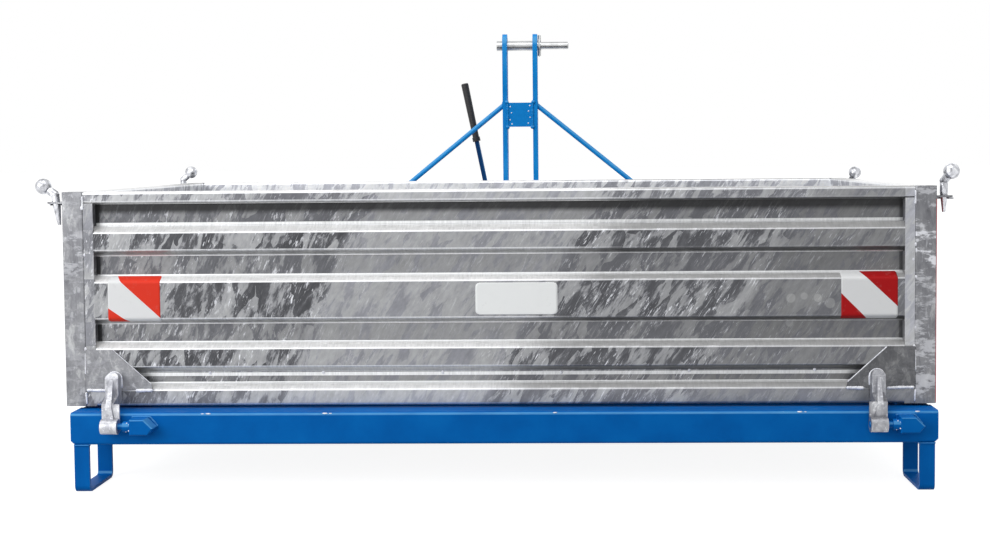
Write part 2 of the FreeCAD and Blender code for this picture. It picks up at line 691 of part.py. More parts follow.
def stepped_pin(x0, step_x, x1, y, z, thick, thin):
    """A pin that gets thinner at step_x and has a chamfered end at x1."""
    pin = joined([rod_x(x0, step_x, y, z, thick), rod_x(step_x, x1, y, z, thin)])
    tip = [edge for edge in pin.Edges if edge.Closed and near(edge.CenterOfMass.x, x1)]
    return pin.makeChamfer(PIN_END_CHAMFER, tip)


def lower_link_pin():
    """Right lower link pin, shouldered at the outer plate, with its linch pin's hole."""
    x0 = SHOULDER_X - 2 * LOWER_PLATE - LOWER_PLATE_GAP - LOWER_PLATE
    x1 = SHOULDER_X + LOWER_PIN_LENGTH
    pin = stepped_pin(x0, SHOULDER_X, x1, LOWER_PIN_Y, LOWER_PIN_Z, LOWER_SHANK_RADIUS,
                      LOWER_PIN_RADIUS)
    return pin.cut(cross_hole(x1 - LINCH_HOLE_INSET, LOWER_PIN_Y, LOWER_PIN_Z, LINCH_HOLE_RADIUS))


def top_link_pin():
    """Stepped pin through the mast plates, with a thinner free end to the right."""
    step_x = MAST_OUTER_X + TOP_PIN_STEP_OUT
    tip = step_x + TOP_PIN_STEP_LENGTH
    pin = stepped_pin(-MAST_OUTER_X - TOP_PIN_STUB, step_x, tip, TOP_PIN_Y, TOP_PIN_Z,
                      TOP_PIN_RADIUS, TOP_PIN_STEP_RADIUS)
    holes = [(MAST_OUTER_X + CLIP_OFFSET, CLIP_SHANK_RADIUS + HITCH_CLEARANCE),
             (tip - STEP_HOLE_INSET, STEP_HOLE_RADIUS)]
    for x, radius in holes:
        pin = pin.cut(cross_hole(x, TOP_PIN_Y, TOP_PIN_Z, radius))
    return pin


def top_link_clip():
    """Linch pin through the top link pin, with its wire ring closed."""
    x = MAST_OUTER_X + CLIP_OFFSET
    centre = vec(x, TOP_PIN_Y, TOP_PIN_Z)
    up = vec(0, 0, CLIP_RING_RADIUS)
    ring = Part.makeTorus(CLIP_RING_RADIUS, CLIP_WIRE_RADIUS, centre, vec(1, 0, 0))
    return joined([rod(centre - up, centre + up, CLIP_SHANK_RADIUS), ring])


def tipping_arm():
    """Right arm from under the hitch frame's beam back to the tipping pivot."""
    x0 = ARM_X - ARM_WIDTH / 2
    x1 = ARM_X + ARM_WIDTH / 2
    z0 = TIP_PIVOT_Z - ARM_HEIGHT / 2
    z1 = TIP_PIVOT_Z + ARM_HEIGHT / 2
    bar = block(x0, x1, TIP_Y, CROSS_Y1, z0, z1)
    bore = block(x0 + ARM_WALL, x1 - ARM_WALL, TIP_Y + ARM_HEIGHT, CROSS_Y1,
                 z0 + ARM_WALL, z1 - ARM_WALL)
    eye = rod_x(x0, x1, TIP_Y, TIP_PIVOT_Z, ARM_HEIGHT / 2)
    packing = block(x0, x1, CROSS_Y0, CROSS_Y1, z1, FOOT_HEIGHT)
    arm = joined([bar.cut(bore), eye, packing])
    return arm.cut(rod_x(x0, x1, TIP_Y, TIP_PIVOT_Z, TIP_PIN_RADIUS + TIP_CLEARANCE))


# --- Latch ------------------------------------------------------------------------------------

def latch_hook():
    """Hook plate on its pivot bolt, swung clear of the latch tongue."""
    x = LATCH_PIVOT_X
    y0 = CROSS_Y1 + LATCH_SET_IN - LATCH_PLATE
    y1 = CROSS_Y1 + LATCH_SET_IN
    nose_z = BEAM_TOP + TONGUE_THICKNESS + MOVING_GAP
    half = LATCH_ARM_WIDTH / 2
    outline = [(x - half, LATCH_Z), (x + half, LATCH_Z), (x + half, nose_z),
               (x + half + LATCH_NOSE, nose_z), (x + half + LATCH_NOSE, nose_z + LATCH_NOSE_HEIGHT / 2),
               (x + half, nose_z + LATCH_NOSE_HEIGHT), (x - half, nose_z + LATCH_NOSE_HEIGHT)]
    hub = rod(vec(x, y0, LATCH_Z), vec(x, y1, LATCH_Z), LATCH_HUB_RADIUS)
    bolt = rod(vec(x, CROSS_Y1, LATCH_Z), vec(x, LATCH_BOLT_Y, LATCH_Z), LATCH_PIVOT_RADIUS)
    return joined([prism_y(outline, y0, y1), hub, bolt])


def lever_line():
    """The lever's foot, its top and its direction."""
    lean = math.radians(LEVER_LEAN)
    foot = vec(LATCH_PIVOT_X, MAST_Y1 + MOVING_GAP + LEVER_HUB_WIDTH / 2, LATCH_Z)
    along = vec(-math.sin(lean), 0, math.cos(lean))
    return foot, foot + along * LEVER_LENGTH, along


def latch_lever():
    """Round lever on a hub that turns on the latch bolt."""
    foot, top, along = lever_line()
    half = vec(0, LEVER_HUB_WIDTH / 2, 0)
    hub = rod(foot - half, foot + half, LATCH_HUB_RADIUS)
    lever = joined([hub, rod(foot, top, LEVER_RADIUS)])
    return lever.cut(rod(foot - half, foot + half, LATCH_PIVOT_RADIUS + HITCH_CLEARANCE))


def lever_grip():
    """Moulded grip over the top of the lever, thicker towards its top and with a flange below."""
    foot, top, along = lever_line()
    end = top + along * GRIP_CAP
    start = end - along * GRIP_LENGTH
    flange_top = start + along * GRIP_FLANGE_LENGTH
    grip = Part.makeCone(GRIP_FOOT_RADIUS, GRIP_TOP_RADIUS, GRIP_LENGTH, start, along)
    grip = rounded(grip, GRIP_EDGE_RADIUS, lambda edge, middle: edge.Closed and middle.z > top.z)
    grip = joined([grip, rod(start, flange_top, GRIP_FLANGE_RADIUS)])
    return grip.cut(rod(start, top, LEVER_RADIUS + GRIP_CLEARANCE))


# --- The whole box ----------------------------------------------------------------------------

def hitch_frame():
    nodes = {
        "hitch_crossbeam": hitch_crossbeam(),
        "mast_gusset": mast_gusset(),
        "top_link_pin": top_link_pin(),
        "top_link_clip": top_link_clip(),
        "latch_hook": latch_hook(),
        "latch_lever": latch_lever(),
        "lever_grip": lever_grip(),
    }
    pairs = {
        "mast_plate": mast_plate(),
        "brace": brace(),
        "lower_bracket": lower_bracket(),
        "lower_link_pin": lower_link_pin(),
        "tipping_arm": tipping_arm(),
        "front_foot": bar_foot(CROSS_Y0, CROSS_Y1),
    }
    return on_frame(with_pairs(nodes, pairs))


def platform_frame():
    nodes = {
        "rear_beam": end_beam(),
        "front_beam": turned_to_front(end_beam()),
        "cross_members": cross_members(),
        "floor_sheet": block(-HALF_WIDTH, HALF_WIDTH, TAILGATE_INNER_Y + MOVING_GAP, BOARD_Y,
                             BEAM_TOP, FLOOR_TOP),
        "pivot_lugs": pivot_lugs(),
        "rest_tongues": rest_tongues(),
        "latch_tongue": latch_tongue(),
    }
    pairs = {
        "side_beam": side_beam(),
        "rear_foot": bar_foot(-HALF_DEPTH, -HALF_DEPTH + REAR_FOOT_DEPTH),
        "pivot_pin": pivot_pin(),
    }
    return on_frame(with_pairs(nodes, pairs))


def platform():
    front_panel = turned_to_front(rear_placed(ribbed_panel(BOARD_X - POST_WIDTH, FLOOR_TOP)))
    deep_post = rear_placed(corner_post(FLOOR_TOP, pin_hole(PIN_DEEP, 0)))
    shallow_post = rear_placed(corner_post(FLOOR_TOP, pin_hole(PIN_SHALLOW, 0)))
    nodes = {
        "hinge_block_left": hinge_block(-HINGE_X - HINGE_SHIFT),
        "hinge_block_right": hinge_block(HINGE_X - HINGE_SHIFT),
        "front_board": front_panel,
        "front_post_left": turned_to_front(shallow_post),
        "front_post_right": mirrored(turned_to_front(deep_post)),
        "drop_pin_front_left": turned_to_front(drop_pin(PIN_SHALLOW, 0, FRONT_LEFT_SWIVEL)),
        "drop_pin_front_right": mirrored(turned_to_front(drop_pin(PIN_DEEP, 0, FRONT_RIGHT_SWIVEL))),
    }
    return {**platform_frame(), **with_pairs(nodes, {"side_board": side_board(), "keeper": keeper()})}


def tailgate():
    deep_post = rear_placed(corner_post(BOARD_BASE, pin_hole(PIN_DEEP, PIN_TILT)))
    shallow_post = rear_placed(corner_post(BOARD_BASE, pin_hole(PIN_SHALLOW, 0)))
    nodes = {
        "tailgate_panel": rear_placed(ribbed_panel(BOARD_X - POST_WIDTH, BOARD_BASE)),
        "tailgate_post_left": mirrored(deep_post),
        "tailgate_post_right": shallow_post,
        "drop_pin_rear_left": mirrored(drop_pin(PIN_DEEP, PIN_TILT, 0)),
        "drop_pin_rear_right": drop_pin(PIN_SHALLOW, 0, REAR_RIGHT_SWIVEL),
        "hinge_arm_left": hinge_arm(-HINGE_X - HINGE_SHIFT, -1),
        "hinge_arm_right": hinge_arm(HINGE_X - HINGE_SHIFT, 1),
    }
    return with_pairs(nodes, {"tailgate_gusset": gusset()})


def with_pairs(nodes, pairs):
    """Add each right-hand piece and its mirror image."""
    for name, shape in pairs.items():
        nodes[name + "_right"] = shape
        nodes[name + "_left"] = mirrored(shape)
    return nodes


def on_frame(nodes):
    """Move pieces of the blue frame to its own middle, a little to the right of the boards'."""
    return {name: shape.translated(vec(FRAME_SHIFT, 0, 0)) for name, shape in nodes.items()}


def rear_reach():
    """The rearmost point of the box: the hinge eyes and their blocks."""
    return min(HINGE_Y - EYE_RADIUS, -HALF_DEPTH - BLOCK_DEPTH)


ORIGIN_Y = (rear_reach() + LATCH_BOLT_Y) / 2
BODIES = {"hitch_frame": hitch_frame(), "platform": platform(), "tailgate": tailgate()}

os.makedirs("parts", exist_ok=True)
for body_nodes in BODIES.values():
    for node, shape in body_nodes.items():
        shape.translated(vec(0, -ORIGIN_Y, 0)).exportStep("parts/" + node + ".step")
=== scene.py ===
"""Looks of the tractor transport box: finishes, welds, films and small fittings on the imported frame."""
import random
from math import cos, pi, radians, sin, sqrt

import bpy
from mathutils import Matrix, Vector
from mathutils.bvhtree import BVHTree


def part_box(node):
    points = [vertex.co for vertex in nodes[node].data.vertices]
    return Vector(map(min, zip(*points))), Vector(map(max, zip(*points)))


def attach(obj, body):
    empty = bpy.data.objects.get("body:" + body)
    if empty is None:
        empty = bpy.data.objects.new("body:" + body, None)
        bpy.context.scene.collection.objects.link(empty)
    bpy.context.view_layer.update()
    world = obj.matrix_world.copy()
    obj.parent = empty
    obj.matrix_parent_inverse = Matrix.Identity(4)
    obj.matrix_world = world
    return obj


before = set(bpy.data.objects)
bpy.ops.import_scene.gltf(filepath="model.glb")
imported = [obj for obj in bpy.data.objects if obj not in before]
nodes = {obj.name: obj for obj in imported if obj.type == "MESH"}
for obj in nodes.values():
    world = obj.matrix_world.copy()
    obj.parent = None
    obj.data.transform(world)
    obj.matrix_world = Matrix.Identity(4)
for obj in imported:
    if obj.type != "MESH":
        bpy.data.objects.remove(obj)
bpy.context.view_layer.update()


# ---- shader writing

class Shader:
    """Writes the nodes of one material, or of the world: most calls add a node and give back its output."""

    def __init__(self, name, owners=bpy.data.materials):
        self.owner = owners.new(name)
        self.owner.use_nodes = True
        self.tree = self.owner.node_tree
        self.tree.nodes.clear()

    def node(self, kind, **settings):
        made = self.tree.nodes.new(kind)
        for key, value in settings.items():
            setattr(made, key, value)
        return made

    def feed(self, socket, value):
        if isinstance(value, bpy.types.NodeSocket):
            self.tree.links.new(value, socket)
        else:
            socket.default_value = value

    def math(self, operation, a, b=0.0, c=0.0, clamp=False):
        made = self.node("ShaderNodeMath", operation=operation, use_clamp=clamp)
        for socket, value in zip(made.inputs, (a, b, c)):
            self.feed(socket, value)
        return made.outputs[0]

    def plus(self, a, b):
        return self.math("ADD", a, b)

    def minus(self, a, b):
        return self.math("SUBTRACT", a, b)

    def times(self, a, b, clamp=False):
        return self.math("MULTIPLY", a, b, clamp=clamp)

    def linear(self, value, slope, offset):
        """value * slope + offset."""
        return self.math("MULTIPLY_ADD", value, slope, offset)

    def place(self, kind="Object"):
        """The three coordinates of the point, in the piece's own frame."""
        coordinates = self.node("ShaderNodeTexCoord")
        split = self.node("ShaderNodeSeparateXYZ")
        self.feed(split.inputs[0], coordinates.outputs[kind])
        return split.outputs

    def facing(self):
        """The direction that the surface faces at the point, in the piece's own frame."""
        return self.place("Normal")

    def vector(self, x, y, z=0.0):
        made = self.node("ShaderNodeCombineXYZ")
        for socket, value in zip(made.inputs, (x, y, z)):
            self.feed(socket, value)
        return made.outputs[0]

    def stretched(self, place, *scales):
        """The point, with each of its coordinates scaled."""
        return self.vector(*(self.times(value, scale) for value, scale in zip(place, scales)))

    def noise(self, vector, scale, detail=3.0, roughness=0.5, distortion=0.0):
        made = self.node("ShaderNodeTexNoise")
        self.feed(made.inputs["Vector"], vector)
        for key, value in (("Scale", scale), ("Detail", detail), ("Roughness", roughness),
                           ("Distortion", distortion)):
            made.inputs[key].default_value = value
        return made.outputs[0]

    def cells(self, vector, scale):
        """A random value for each cell of a cracked pattern."""
        made = self.node("ShaderNodeTexVoronoi")
        self.feed(made.inputs["Vector"], vector)
        made.inputs["Scale"].default_value = scale
        split = self.node("ShaderNodeSeparateColor")
        self.feed(split.inputs[0], made.outputs["Color"])
        return split.outputs[0]

    def band(self, value, low, high):
        """0 below low, 1 above high, and smooth between."""
        made = self.node("ShaderNodeMapRange", interpolation_type="SMOOTHSTEP")
        self.feed(made.inputs["Value"], value)
        made.inputs["From Min"].default_value = low
        made.inputs["From Max"].default_value = high
        return made.outputs[0]

    def span(self, value, low, high, soft):
        """1 between low and high, 0 outside, over soft on both sides of each."""
        rise = self.band(value, low - soft, low + soft)
        fall = self.band(value, high - soft, high + soft)
        return self.minus(rise, fall)

    def ramp(self, value, low, high, stops):
        """Colours along a value that goes from low to high; each stop is (value, colour)."""
        scaled = self.node("ShaderNodeMapRange")
        self.feed(scaled.inputs["Value"], value)
        scaled.inputs["From Min"].default_value = low
        scaled.inputs["From Max"].default_value = high
        made = self.node("ShaderNodeValToRGB")
        elements = made.color_ramp.elements
        while len(elements) > 1:
            elements.remove(elements[-1])
        for index, (place, colour) in enumerate(stops):
            at = (place - low) / (high - low)
            element = elements[0] if index == 0 else elements.new(at)
            element.position = at
            element.color = (*colour, 1.0)
        self.feed(made.inputs[0], scaled.outputs[0])
        return made.outputs[0]

    def mix(self, factor, a, b, blend="MIX"):
        made = self.node("ShaderNodeMix", data_type="RGBA", blend_type=blend)
        for name, value in (("Factor_Float", factor), ("A_Color", a), ("B_Color", b)):
            socket = next(s for s in made.inputs if s.identifier == name)
            self.feed(socket, (*value, 1.0) if isinstance(value, tuple) else value)
        return next(s for s in made.outputs if s.identifier == "Result_Color")

    def parts(self, colour):
        """The three values held by a colour."""
        split = self.node("ShaderNodeSeparateColor")
        self.feed(split.inputs[0], colour)
        return split.outputs

    def bump(self, height, strength, distance):
        made = self.node("ShaderNodeBump")
        made.inputs["Strength"].default_value = strength
        made.inputs["Distance"].default_value = distance
        self.feed(made.inputs["Height"], height)
        return made.outputs[0]

    def surface(self, shader):
        """Ends the material, or the world, with a shader node; gives back the material or the world."""
        kind = "World" if isinstance(self.owner, bpy.types.World) else "Material"
        self.feed(self.node("ShaderNodeOutput" + kind).inputs["Surface"], shader.outputs[0])
        return self.owner

    def finish(self, colour, roughness, metallic, bump, specular=0.5):
        shader = self.node("ShaderNodeBsdfPrincipled")
        for name, value in (("Base Color", colour), ("Roughness", roughness), ("Metallic", metallic),
                            ("Normal", bump), ("Specular IOR Level", specular)):
            self.feed(shader.inputs[name], value)
        return self.surface(shader)


def grey(level, blue=1.06):
    """A zinc tone: blue is its share of blue against its green."""
    return (level * 0.985, level, level * blue)


# ---- finishes

panel_low, panel_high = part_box("tailgate_panel")
board_foot = panel_low.z
recess_depth = panel_low.y + 0.014
floor_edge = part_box("floor_sheet")[0].y
LEAN_LEVEL = 0.202              # the height, half of a board's, about which the patches lean
SPLIT_SOFT = 0.07               # half of the width over which a sheet's left side turns into its right
FOLD_SHIFT = 5.3                # how far each fold moves the pattern's third coordinate
STEEP, STEEPEST = 0.60, 0.80    # how far a slope faces up, or down, where its painted highlight starts and is whole
WIPED_FOOT, WIPED_TOP = 0.250, 0.325    # the band of pale wipes on the posts, above the boards' foot
SHEET_METALLIC = 0.55


class Sheet(Shader):
    """The shader of a galvanised sheet, with the values that its layers share."""

    def __init__(self, name, across, up, foot, leans, seed, folds, split, ends):
        super().__init__(name)
        place = self.place()
        self.along, self.into, self.turn = place[across], place[1 - across], self.facing()[up]
        self.level, self.height = self.minus(place[up], foot), self.minus(place[up], foot + LEAN_LEVEL)
        lean = self.ramp(self.along, -0.9, 0.9, tuple((at, (v,) * 3) for at, v in leans))
        self.slant = self.minus(self.along, self.times(self.height, lean))
        self.part = seed
        for fold in folds:
            self.part = self.linear(self.math("GREATER_THAN", self.level, fold), FOLD_SHIFT, self.part)
        wander = self.noise(self.drawn_out(self.slant, 24.0, 14.0), 1.0, 4.0)
        self.rough_slant = self.plus(self.slant, self.times(self.minus(wander, 0.5), 0.045))
        self.far_side = self.band(self.rough_slant, split - SPLIT_SOFT, split + SPLIT_SOFT)
        self.mottle = self.noise(self.drawn_out(self.slant, 75.0, 40.0), 1.0, 7.0, 0.70)
        self.streak = self.noise(self.drawn_out(self.along, 260.0, 30.0), 1.0, 5.0, 0.65)
        self.on_strip = None
        if ends is not None:
            inner, strip_foot = ends[:2]
            outside = self.band(self.math("ABSOLUTE", self.along), inner - 0.0005, inner + 0.0005)
            self.on_strip = self.times(outside, self.band(self.level, strip_foot, strip_foot + 0.002))

    def drawn_out(self, base, fine_along, fine_up):
        """The point for a pattern with its own fineness along the sheet and up it."""
        return self.vector(self.times(base, fine_along), self.times(self.height, fine_up), self.part)

    def sides(self, left, right):
        """The left side's value, turning into the right side's at the split."""
        return self.linear(self.minus(right, left), self.far_side, left)

    def off_strips(self, value):
        """The value, but 0 on the upright strips at the sheet's ends."""
        return value if self.on_strip is None else self.times(value, self.minus(1.0, self.on_strip))


def crystal_patches(s, tones, zones, ends):
    """The sheet's colour, how lively it is, and the pattern of its light and dark patches."""
    gain, contrast, share = s.parts(s.ramp(s.rough_slant, -0.9, 0.9, zones))[:3]
    coarse = s.noise(s.drawn_out(s.slant, 30.0, 12.0), 1.0, 5.0, 0.62, 0.5)
    fine = s.noise(s.drawn_out(s.slant, 120.0, 42.0), 1.0, 6.0, 0.70)
    cell = s.cells(s.drawn_out(s.rough_slant, 70.0, 26.0), 1.0)
    mixed = s.linear(coarse, 0.58, s.times(fine, 0.28))
    mixed = s.plus(s.linear(cell, 0.14, mixed), s.minus(share, 0.5))
    pattern = s.plus(s.times(s.band(mixed, 0.455, 0.515), 0.55),
                     s.times(s.band(mixed, 0.36, 0.66), 0.45))
    stops = tuple((at, (tone, live / 2, 0.0)) for at, tone, live in tones)
    toned = s.parts(s.ramp(s.level, -0.1, 0.9, stops))
    lively = s.times(s.times(toned[1], 2.0), contrast)
    swing = s.times(lively, s.linear(pattern, 1.10, -0.66))
    tone = s.times(toned[0], gain)
    if ends is not None:
        left, right = ends[2:4]
        strip = s.linear(s.math("GREATER_THAN", s.along, 0.0), (right - left) / 2, left / 2)
        tone = s.plus(s.off_strips(tone), s.times(strip, s.on_strip))
        swing = s.times(swing, s.linear(s.on_strip, -0.45, 1.0))
    tone = s.times(tone, s.math("MAXIMUM", s.plus(1.0, swing), 0.16))
    tone = s.times(tone, s.linear(s.mottle, 1.8, 1.10))
    tint = s.mix(pattern, (0.965, 0.985, 1.09), (0.985, 1.0, 1.02))
    return s.mix(1.0, tint, s.vector(tone, tone, tone), "MULTIPLY"), lively, pattern


def flecks_and_scratches(s, colour, lively):
    crowd = s.noise(s.drawn_out(s.slant, 19.0, 14.0), 1.0, 3.0)
    crowd = s.times(s.band(crowd, 0.40, 0.60), s.linear(lively, 0.80, 0.02), clamp=True)
    fleck = s.noise(s.drawn_out(s.slant, 200.0, 52.0), 1.0, 5.0, 0.68)
    colour = s.mix(s.times(s.band(fleck, 0.560, 0.650), crowd), colour, grey(0.82))
    scratch = s.noise(s.drawn_out(s.slant, 700.0, 40.0), 1.0, 2.0)
    scratched = s.linear(crowd, 0.45, 0.07)
    return s.mix(s.times(s.band(scratch, 0.63, 0.72), scratched), colour, grey(0.80))


def rim_shadow(s, colour, low, high, top, strength):
    under = s.times(s.band(s.level, low, high), s.math("LESS_THAN", s.level, top))
    under = s.off_strips(s.times(under, s.linear(s.mottle, -0.4, 1.20), clamp=True))
    return s.mix(s.times(under, strength), colour, grey(0.018))


def painted_slot_shade(s, colour, inner, sunk):
    """Painted shade in the slots beside the strips, past the depth sunk, weaker on the right."""
    slot = s.span(s.math("ABSOLUTE", s.along), inner - 0.0062, inner + 0.002, 0.0010)
    slot = s.times(slot, s.band(s.into, sunk, sunk + 0.004))
    return s.mix(s.times(slot, s.sides(0.88, 0.55)), colour, grey(0.02))


def painted_slope_light(s, colour, slopes):
    """The colour with painted highlights on the folds' steep slopes that face up and painted reflections on
    those that face down, and the metallic value that goes with it.
    """
    upward, downward = (s.sides(left, right) for left, right in slopes)
    slope_highlight = s.linear(s.minus(upward, downward), s.math("GREATER_THAN", s.turn, 0.0), downward)
    slope_highlight = s.times(slope_highlight, s.linear(s.streak, 0.60, 0.70))
    broad = s.noise(s.vector(s.times(s.along, 26.0), s.part, 0.0), 1.0, 4.0, 0.6)
    slope_highlight = s.times(slope_highlight, s.linear(broad, 0.60, 0.70), clamp=True)
    rising = s.band(s.turn, STEEP, STEEPEST)
    falling = s.band(s.times(s.turn, -1.0), STEEP, STEEPEST)
    colour = s.mix(s.plus(rising, falling), colour, s.vector(slope_highlight, slope_highlight, slope_highlight))
    return colour, s.linear(s.minus(falling, rising), 0.42, SHEET_METALLIC)


def painted_bend_highlights(s, colour):
    """Painted highlights on the rounded bends that face partly up, and on those that face partly down,
    weaker towards the right.
    """
    upper = s.times(s.span(s.turn, 0.16, 0.62, 0.07), s.linear(s.streak, 0.7, 0.55), clamp=True)
    colour = s.mix(s.times(upper, s.sides(1.0, 0.55)), colour, grey(0.95, 1.02))
    lower = s.times(s.span(s.turn, -0.62, -0.16, 0.07), s.linear(s.streak, 0.9, 0.2), clamp=True)
    return s.mix(s.times(lower, s.sides(1.0, 0.10)), colour, grey(0.86, 1.02))


def painted_fold_highlight(s, colour, low, high):
    # a painted highlight line along a fold's inner bend, weaker on the right
    highlight_line = s.span(s.level, low, high, 0.0005)
    highlight_line = s.times(highlight_line, s.linear(s.streak, 0.8, 0.4), clamp=True)
    highlight_line = s.off_strips(s.times(highlight_line, s.sides(1.0, 0.72)))
    return s.mix(highlight_line, colour, grey(0.97, 1.01))


def pale_spot(s, colour, along, height, radius, strength):
    dx, dz = s.minus(s.along, along), s.minus(s.level, height)
    away = s.math("SQRT", s.plus(s.times(dx, dx), s.times(dz, dz)))
    away = s.plus(away, s.times(s.minus(s.mottle, 0.5), 0.006))
    inside = s.minus(1.0, s.band(away, radius * 0.75, radius))
    return s.mix(s.times(inside, strength), colour, grey(0.50, 0.98))


def streaked_zinc(name, across, up, foot, tones, zones, leans, seed, folds=(), slopes=(), lines=(),
                  split=0.0, shade=None, ends=None, spots=()):
    """Galvanised sheet: leaning patches of light and dark crystals that break at every fold, bright flecks
    and painted highlights on the folds. across and up are the axes along the sheet and up it (0 x, 1 y,
    2 z), heights are measured from foot, seed moves the whole pattern, and the left and right sides part at
    split.
    tones: (height, tone, liveliness), up the sheet.
    zones: (place, (gain, contrast, share of light patches)), along the sheet.
    leans: (place, lean of the patches), along the sheet.
    slopes: the painted highlight (left, right) on the folds that face up, and the painted reflection on
    those that face down.
    lines: (low, high) of the painted highlight lines in the folds' inner bends.
    shade: (low, high, top, strength) of the shadow under the rim: it grows from low to high, up to top.
    ends: (inner edge, foot, left tone, right tone, sunk) of the upright strips at both ends; past the
    depth sunk, painted shade darkens the sheet in the slots beside them.
    spots: (place, height, radius, strength) of the pale rounds."""
    s = Sheet(name, across, up, foot, leans, seed, folds, split, ends)
    colour, lively, pattern = crystal_patches(s, tones, zones, ends)
    colour = flecks_and_scratches(s, colour, lively)
    if shade is not None:
        colour = rim_shadow(s, colour, *shade)
    if ends is not None:
        colour = painted_slot_shade(s, colour, ends[0], ends[4])
    metallic = SHEET_METALLIC
    if slopes:
        colour, metallic = painted_slope_light(s, colour, slopes)
    colour = painted_bend_highlights(s, colour)
    for line in lines:
        colour = painted_fold_highlight(s, colour, *line)
    for spot in spots:
        colour = pale_spot(s, colour, *spot)
    relief = s.linear(pattern, 0.20, s.mottle)
    return s.finish(colour, s.linear(s.mottle, 0.25, 0.27), metallic, s.bump(relief, 0.22, 0.0012))


def cast_zinc(name, level, seed, scale=90.0, contrast=0.55, metallic=0.6, flow=0.7, smudge=0.0):
    """Dipped small parts and posts: cloudy, lumpy zinc. A small flow draws it out along its height, and
    smudge adds pale wipes, most of them in a band on the posts' upper half."""
    s = Shader(name)
    place = s.place()
    drawn = s.vector(place[0], place[1], s.linear(place[2], flow, seed))
    cloud = s.noise(drawn, scale * 0.35, 6.0, 0.66, 0.8)
    grain = s.noise(drawn, scale * 3.0, 5.0, 0.65)
    cell = s.cells(drawn, scale)
    tone = s.plus(s.times(cloud, 0.86), s.times(cell, 0.14))
    tone = s.plus(tone, s.times(grain, 0.28))
    colour = s.ramp(tone, 0.25, 1.05, (
        (0.30, grey(level * (1 - contrast), 1.12)), (0.54, grey(level * 0.82, 1.09)),
        (0.70, grey(level * 1.12)), (0.86, grey(min(0.9, level * 2.1), 1.02))))
    wiped_along = s.vector(s.times(place[0], 22.0), place[1], s.linear(place[2], 60.0, seed))
    wipe = s.noise(wiped_along, 1.0, 5.0, 0.7)
    on_band = s.span(place[2], board_foot + WIPED_FOOT, board_foot + WIPED_TOP, 0.008)
    wiped = s.times(s.band(wipe, 0.50, 0.60), s.times(s.linear(on_band, 0.5, 0.5), smudge))
    colour = s.mix(wiped, colour, grey(0.70))
    edge = s.band(s.noise(drawn, scale * 1.1, 3.0), 0.62, 0.70)
    colour = s.mix(s.times(edge, 0.45), colour, grey(min(0.9, level * 2.3)))
    roughness = s.linear(grain, 0.25, 0.25)
    relief = s.linear(cloud, 1.5, grain)
    return s.finish(colour, roughness, metallic, s.bump(relief, 0.35, 0.001))


def machine_paint(name, colour, dark, light, seed):
    """Blue paint: faint orange peel, a painted highlight on the places that face partly up, patchy where
    rubbed, and paler chipped places where it faces up.
    """
    s = Shader(name)
    place = s.place()
    point = s.vector(place[0], place[1], s.plus(place[2], seed))
    cloud = s.noise(point, 9.0, 5.0, 0.6)
    peel = s.noise(point, 420.0, 2.0, 0.5)
    rub = s.noise(s.stretched(place, 16.0, 90.0, 90.0), 1.0, 6.0, 0.68)
    tone = s.ramp(cloud, 0.0, 1.0, ((0.32, dark), (0.5, colour), (0.70, light)))
    turn = s.facing()[2]
    # painted highlight where the paint faces partly up, patchy with the rubbing
    crest_highlight_and_rub = s.times(s.span(turn, 0.15, 0.75, 0.10), s.linear(rub, 0.9, 0.15))
    tone = s.mix(crest_highlight_and_rub, tone, (0.12, 0.40, 0.72))
    chip = s.times(s.band(rub, 0.70, 0.76), s.band(turn, 0.2, 0.7))
    tone = s.mix(s.times(chip, 0.6), tone, (0.55, 0.66, 0.74))
    roughness = s.linear(rub, 0.22, 0.34)
    return s.finish(tone, roughness, 0.0, s.bump(peel, 0.08, 0.0004), 0.06)


def plated(name, level):
    """Bright zinc plating with fine turning marks."""
    s = Shader(name)
    place = s.place()
    rings = s.noise(s.stretched(place, 600.0, 60.0, 60.0), 1.0, 3.0)
    cloud = s.noise(s.vector(*place), 40.0, 4.0, 0.6)
    colour = s.ramp(cloud, 0.0, 1.0, (
        (0.3, grey(level * 0.75, 1.0)), (0.6, grey(level, 1.0)), (0.8, grey(level * 1.2, 1.0))))
    return s.finish(colour, s.linear(rings, 0.20, 0.16), 0.9, s.bump(rings, 0.15, 0.0004))


def bright_zinc(name, level, seed):
    """The handles' runny, shiny zinc."""
    s = Shader(name)
    place = s.place()
    drawn = s.vector(place[0], place[1], s.linear(place[2], 0.6, seed))
    runs = s.noise(drawn, 70.0, 5.0, 0.62, 1.2)
    speck = s.noise(drawn, 420.0, 3.0, 0.6)
    colour = s.ramp(runs, 0.0, 1.0, (
        (0.34, grey(level * 0.42)), (0.46, grey(level * 0.85)), (0.58, grey(level * 1.15)),
        (0.70, grey(0.92, 1.01))))
    roughness = s.linear(speck, 0.22, 0.14)
    return s.finish(colour, roughness, 0.9, s.bump(s.linear(runs, 1.6, speck), 0.30, 0.0012))


def moulded_black(name):
    """Black rubber and plastic with a fine matte grain."""
    s = Shader(name)
    place = s.place()
    grain = s.noise(s.vector(*place), 700.0, 3.0, 0.6)
    ribs = s.math("SINE", s.times(place[2], 1500.0))
    colour = s.ramp(grain, 0.0, 1.0, ((0.3, (0.006, 0.006, 0.007)), (0.7, (0.022, 0.022, 0.024))))
    relief = s.linear(ribs, 0.35, grain)
    return s.finish(colour, s.linear(grain, 0.2, 0.42), 0.0, s.bump(relief, 0.35, 0.0006))


RED, DEEP_RED, WHITE = (0.76, 0.040, 0.018), (0.42, 0.006, 0.008), (0.80, 0.81, 0.82)


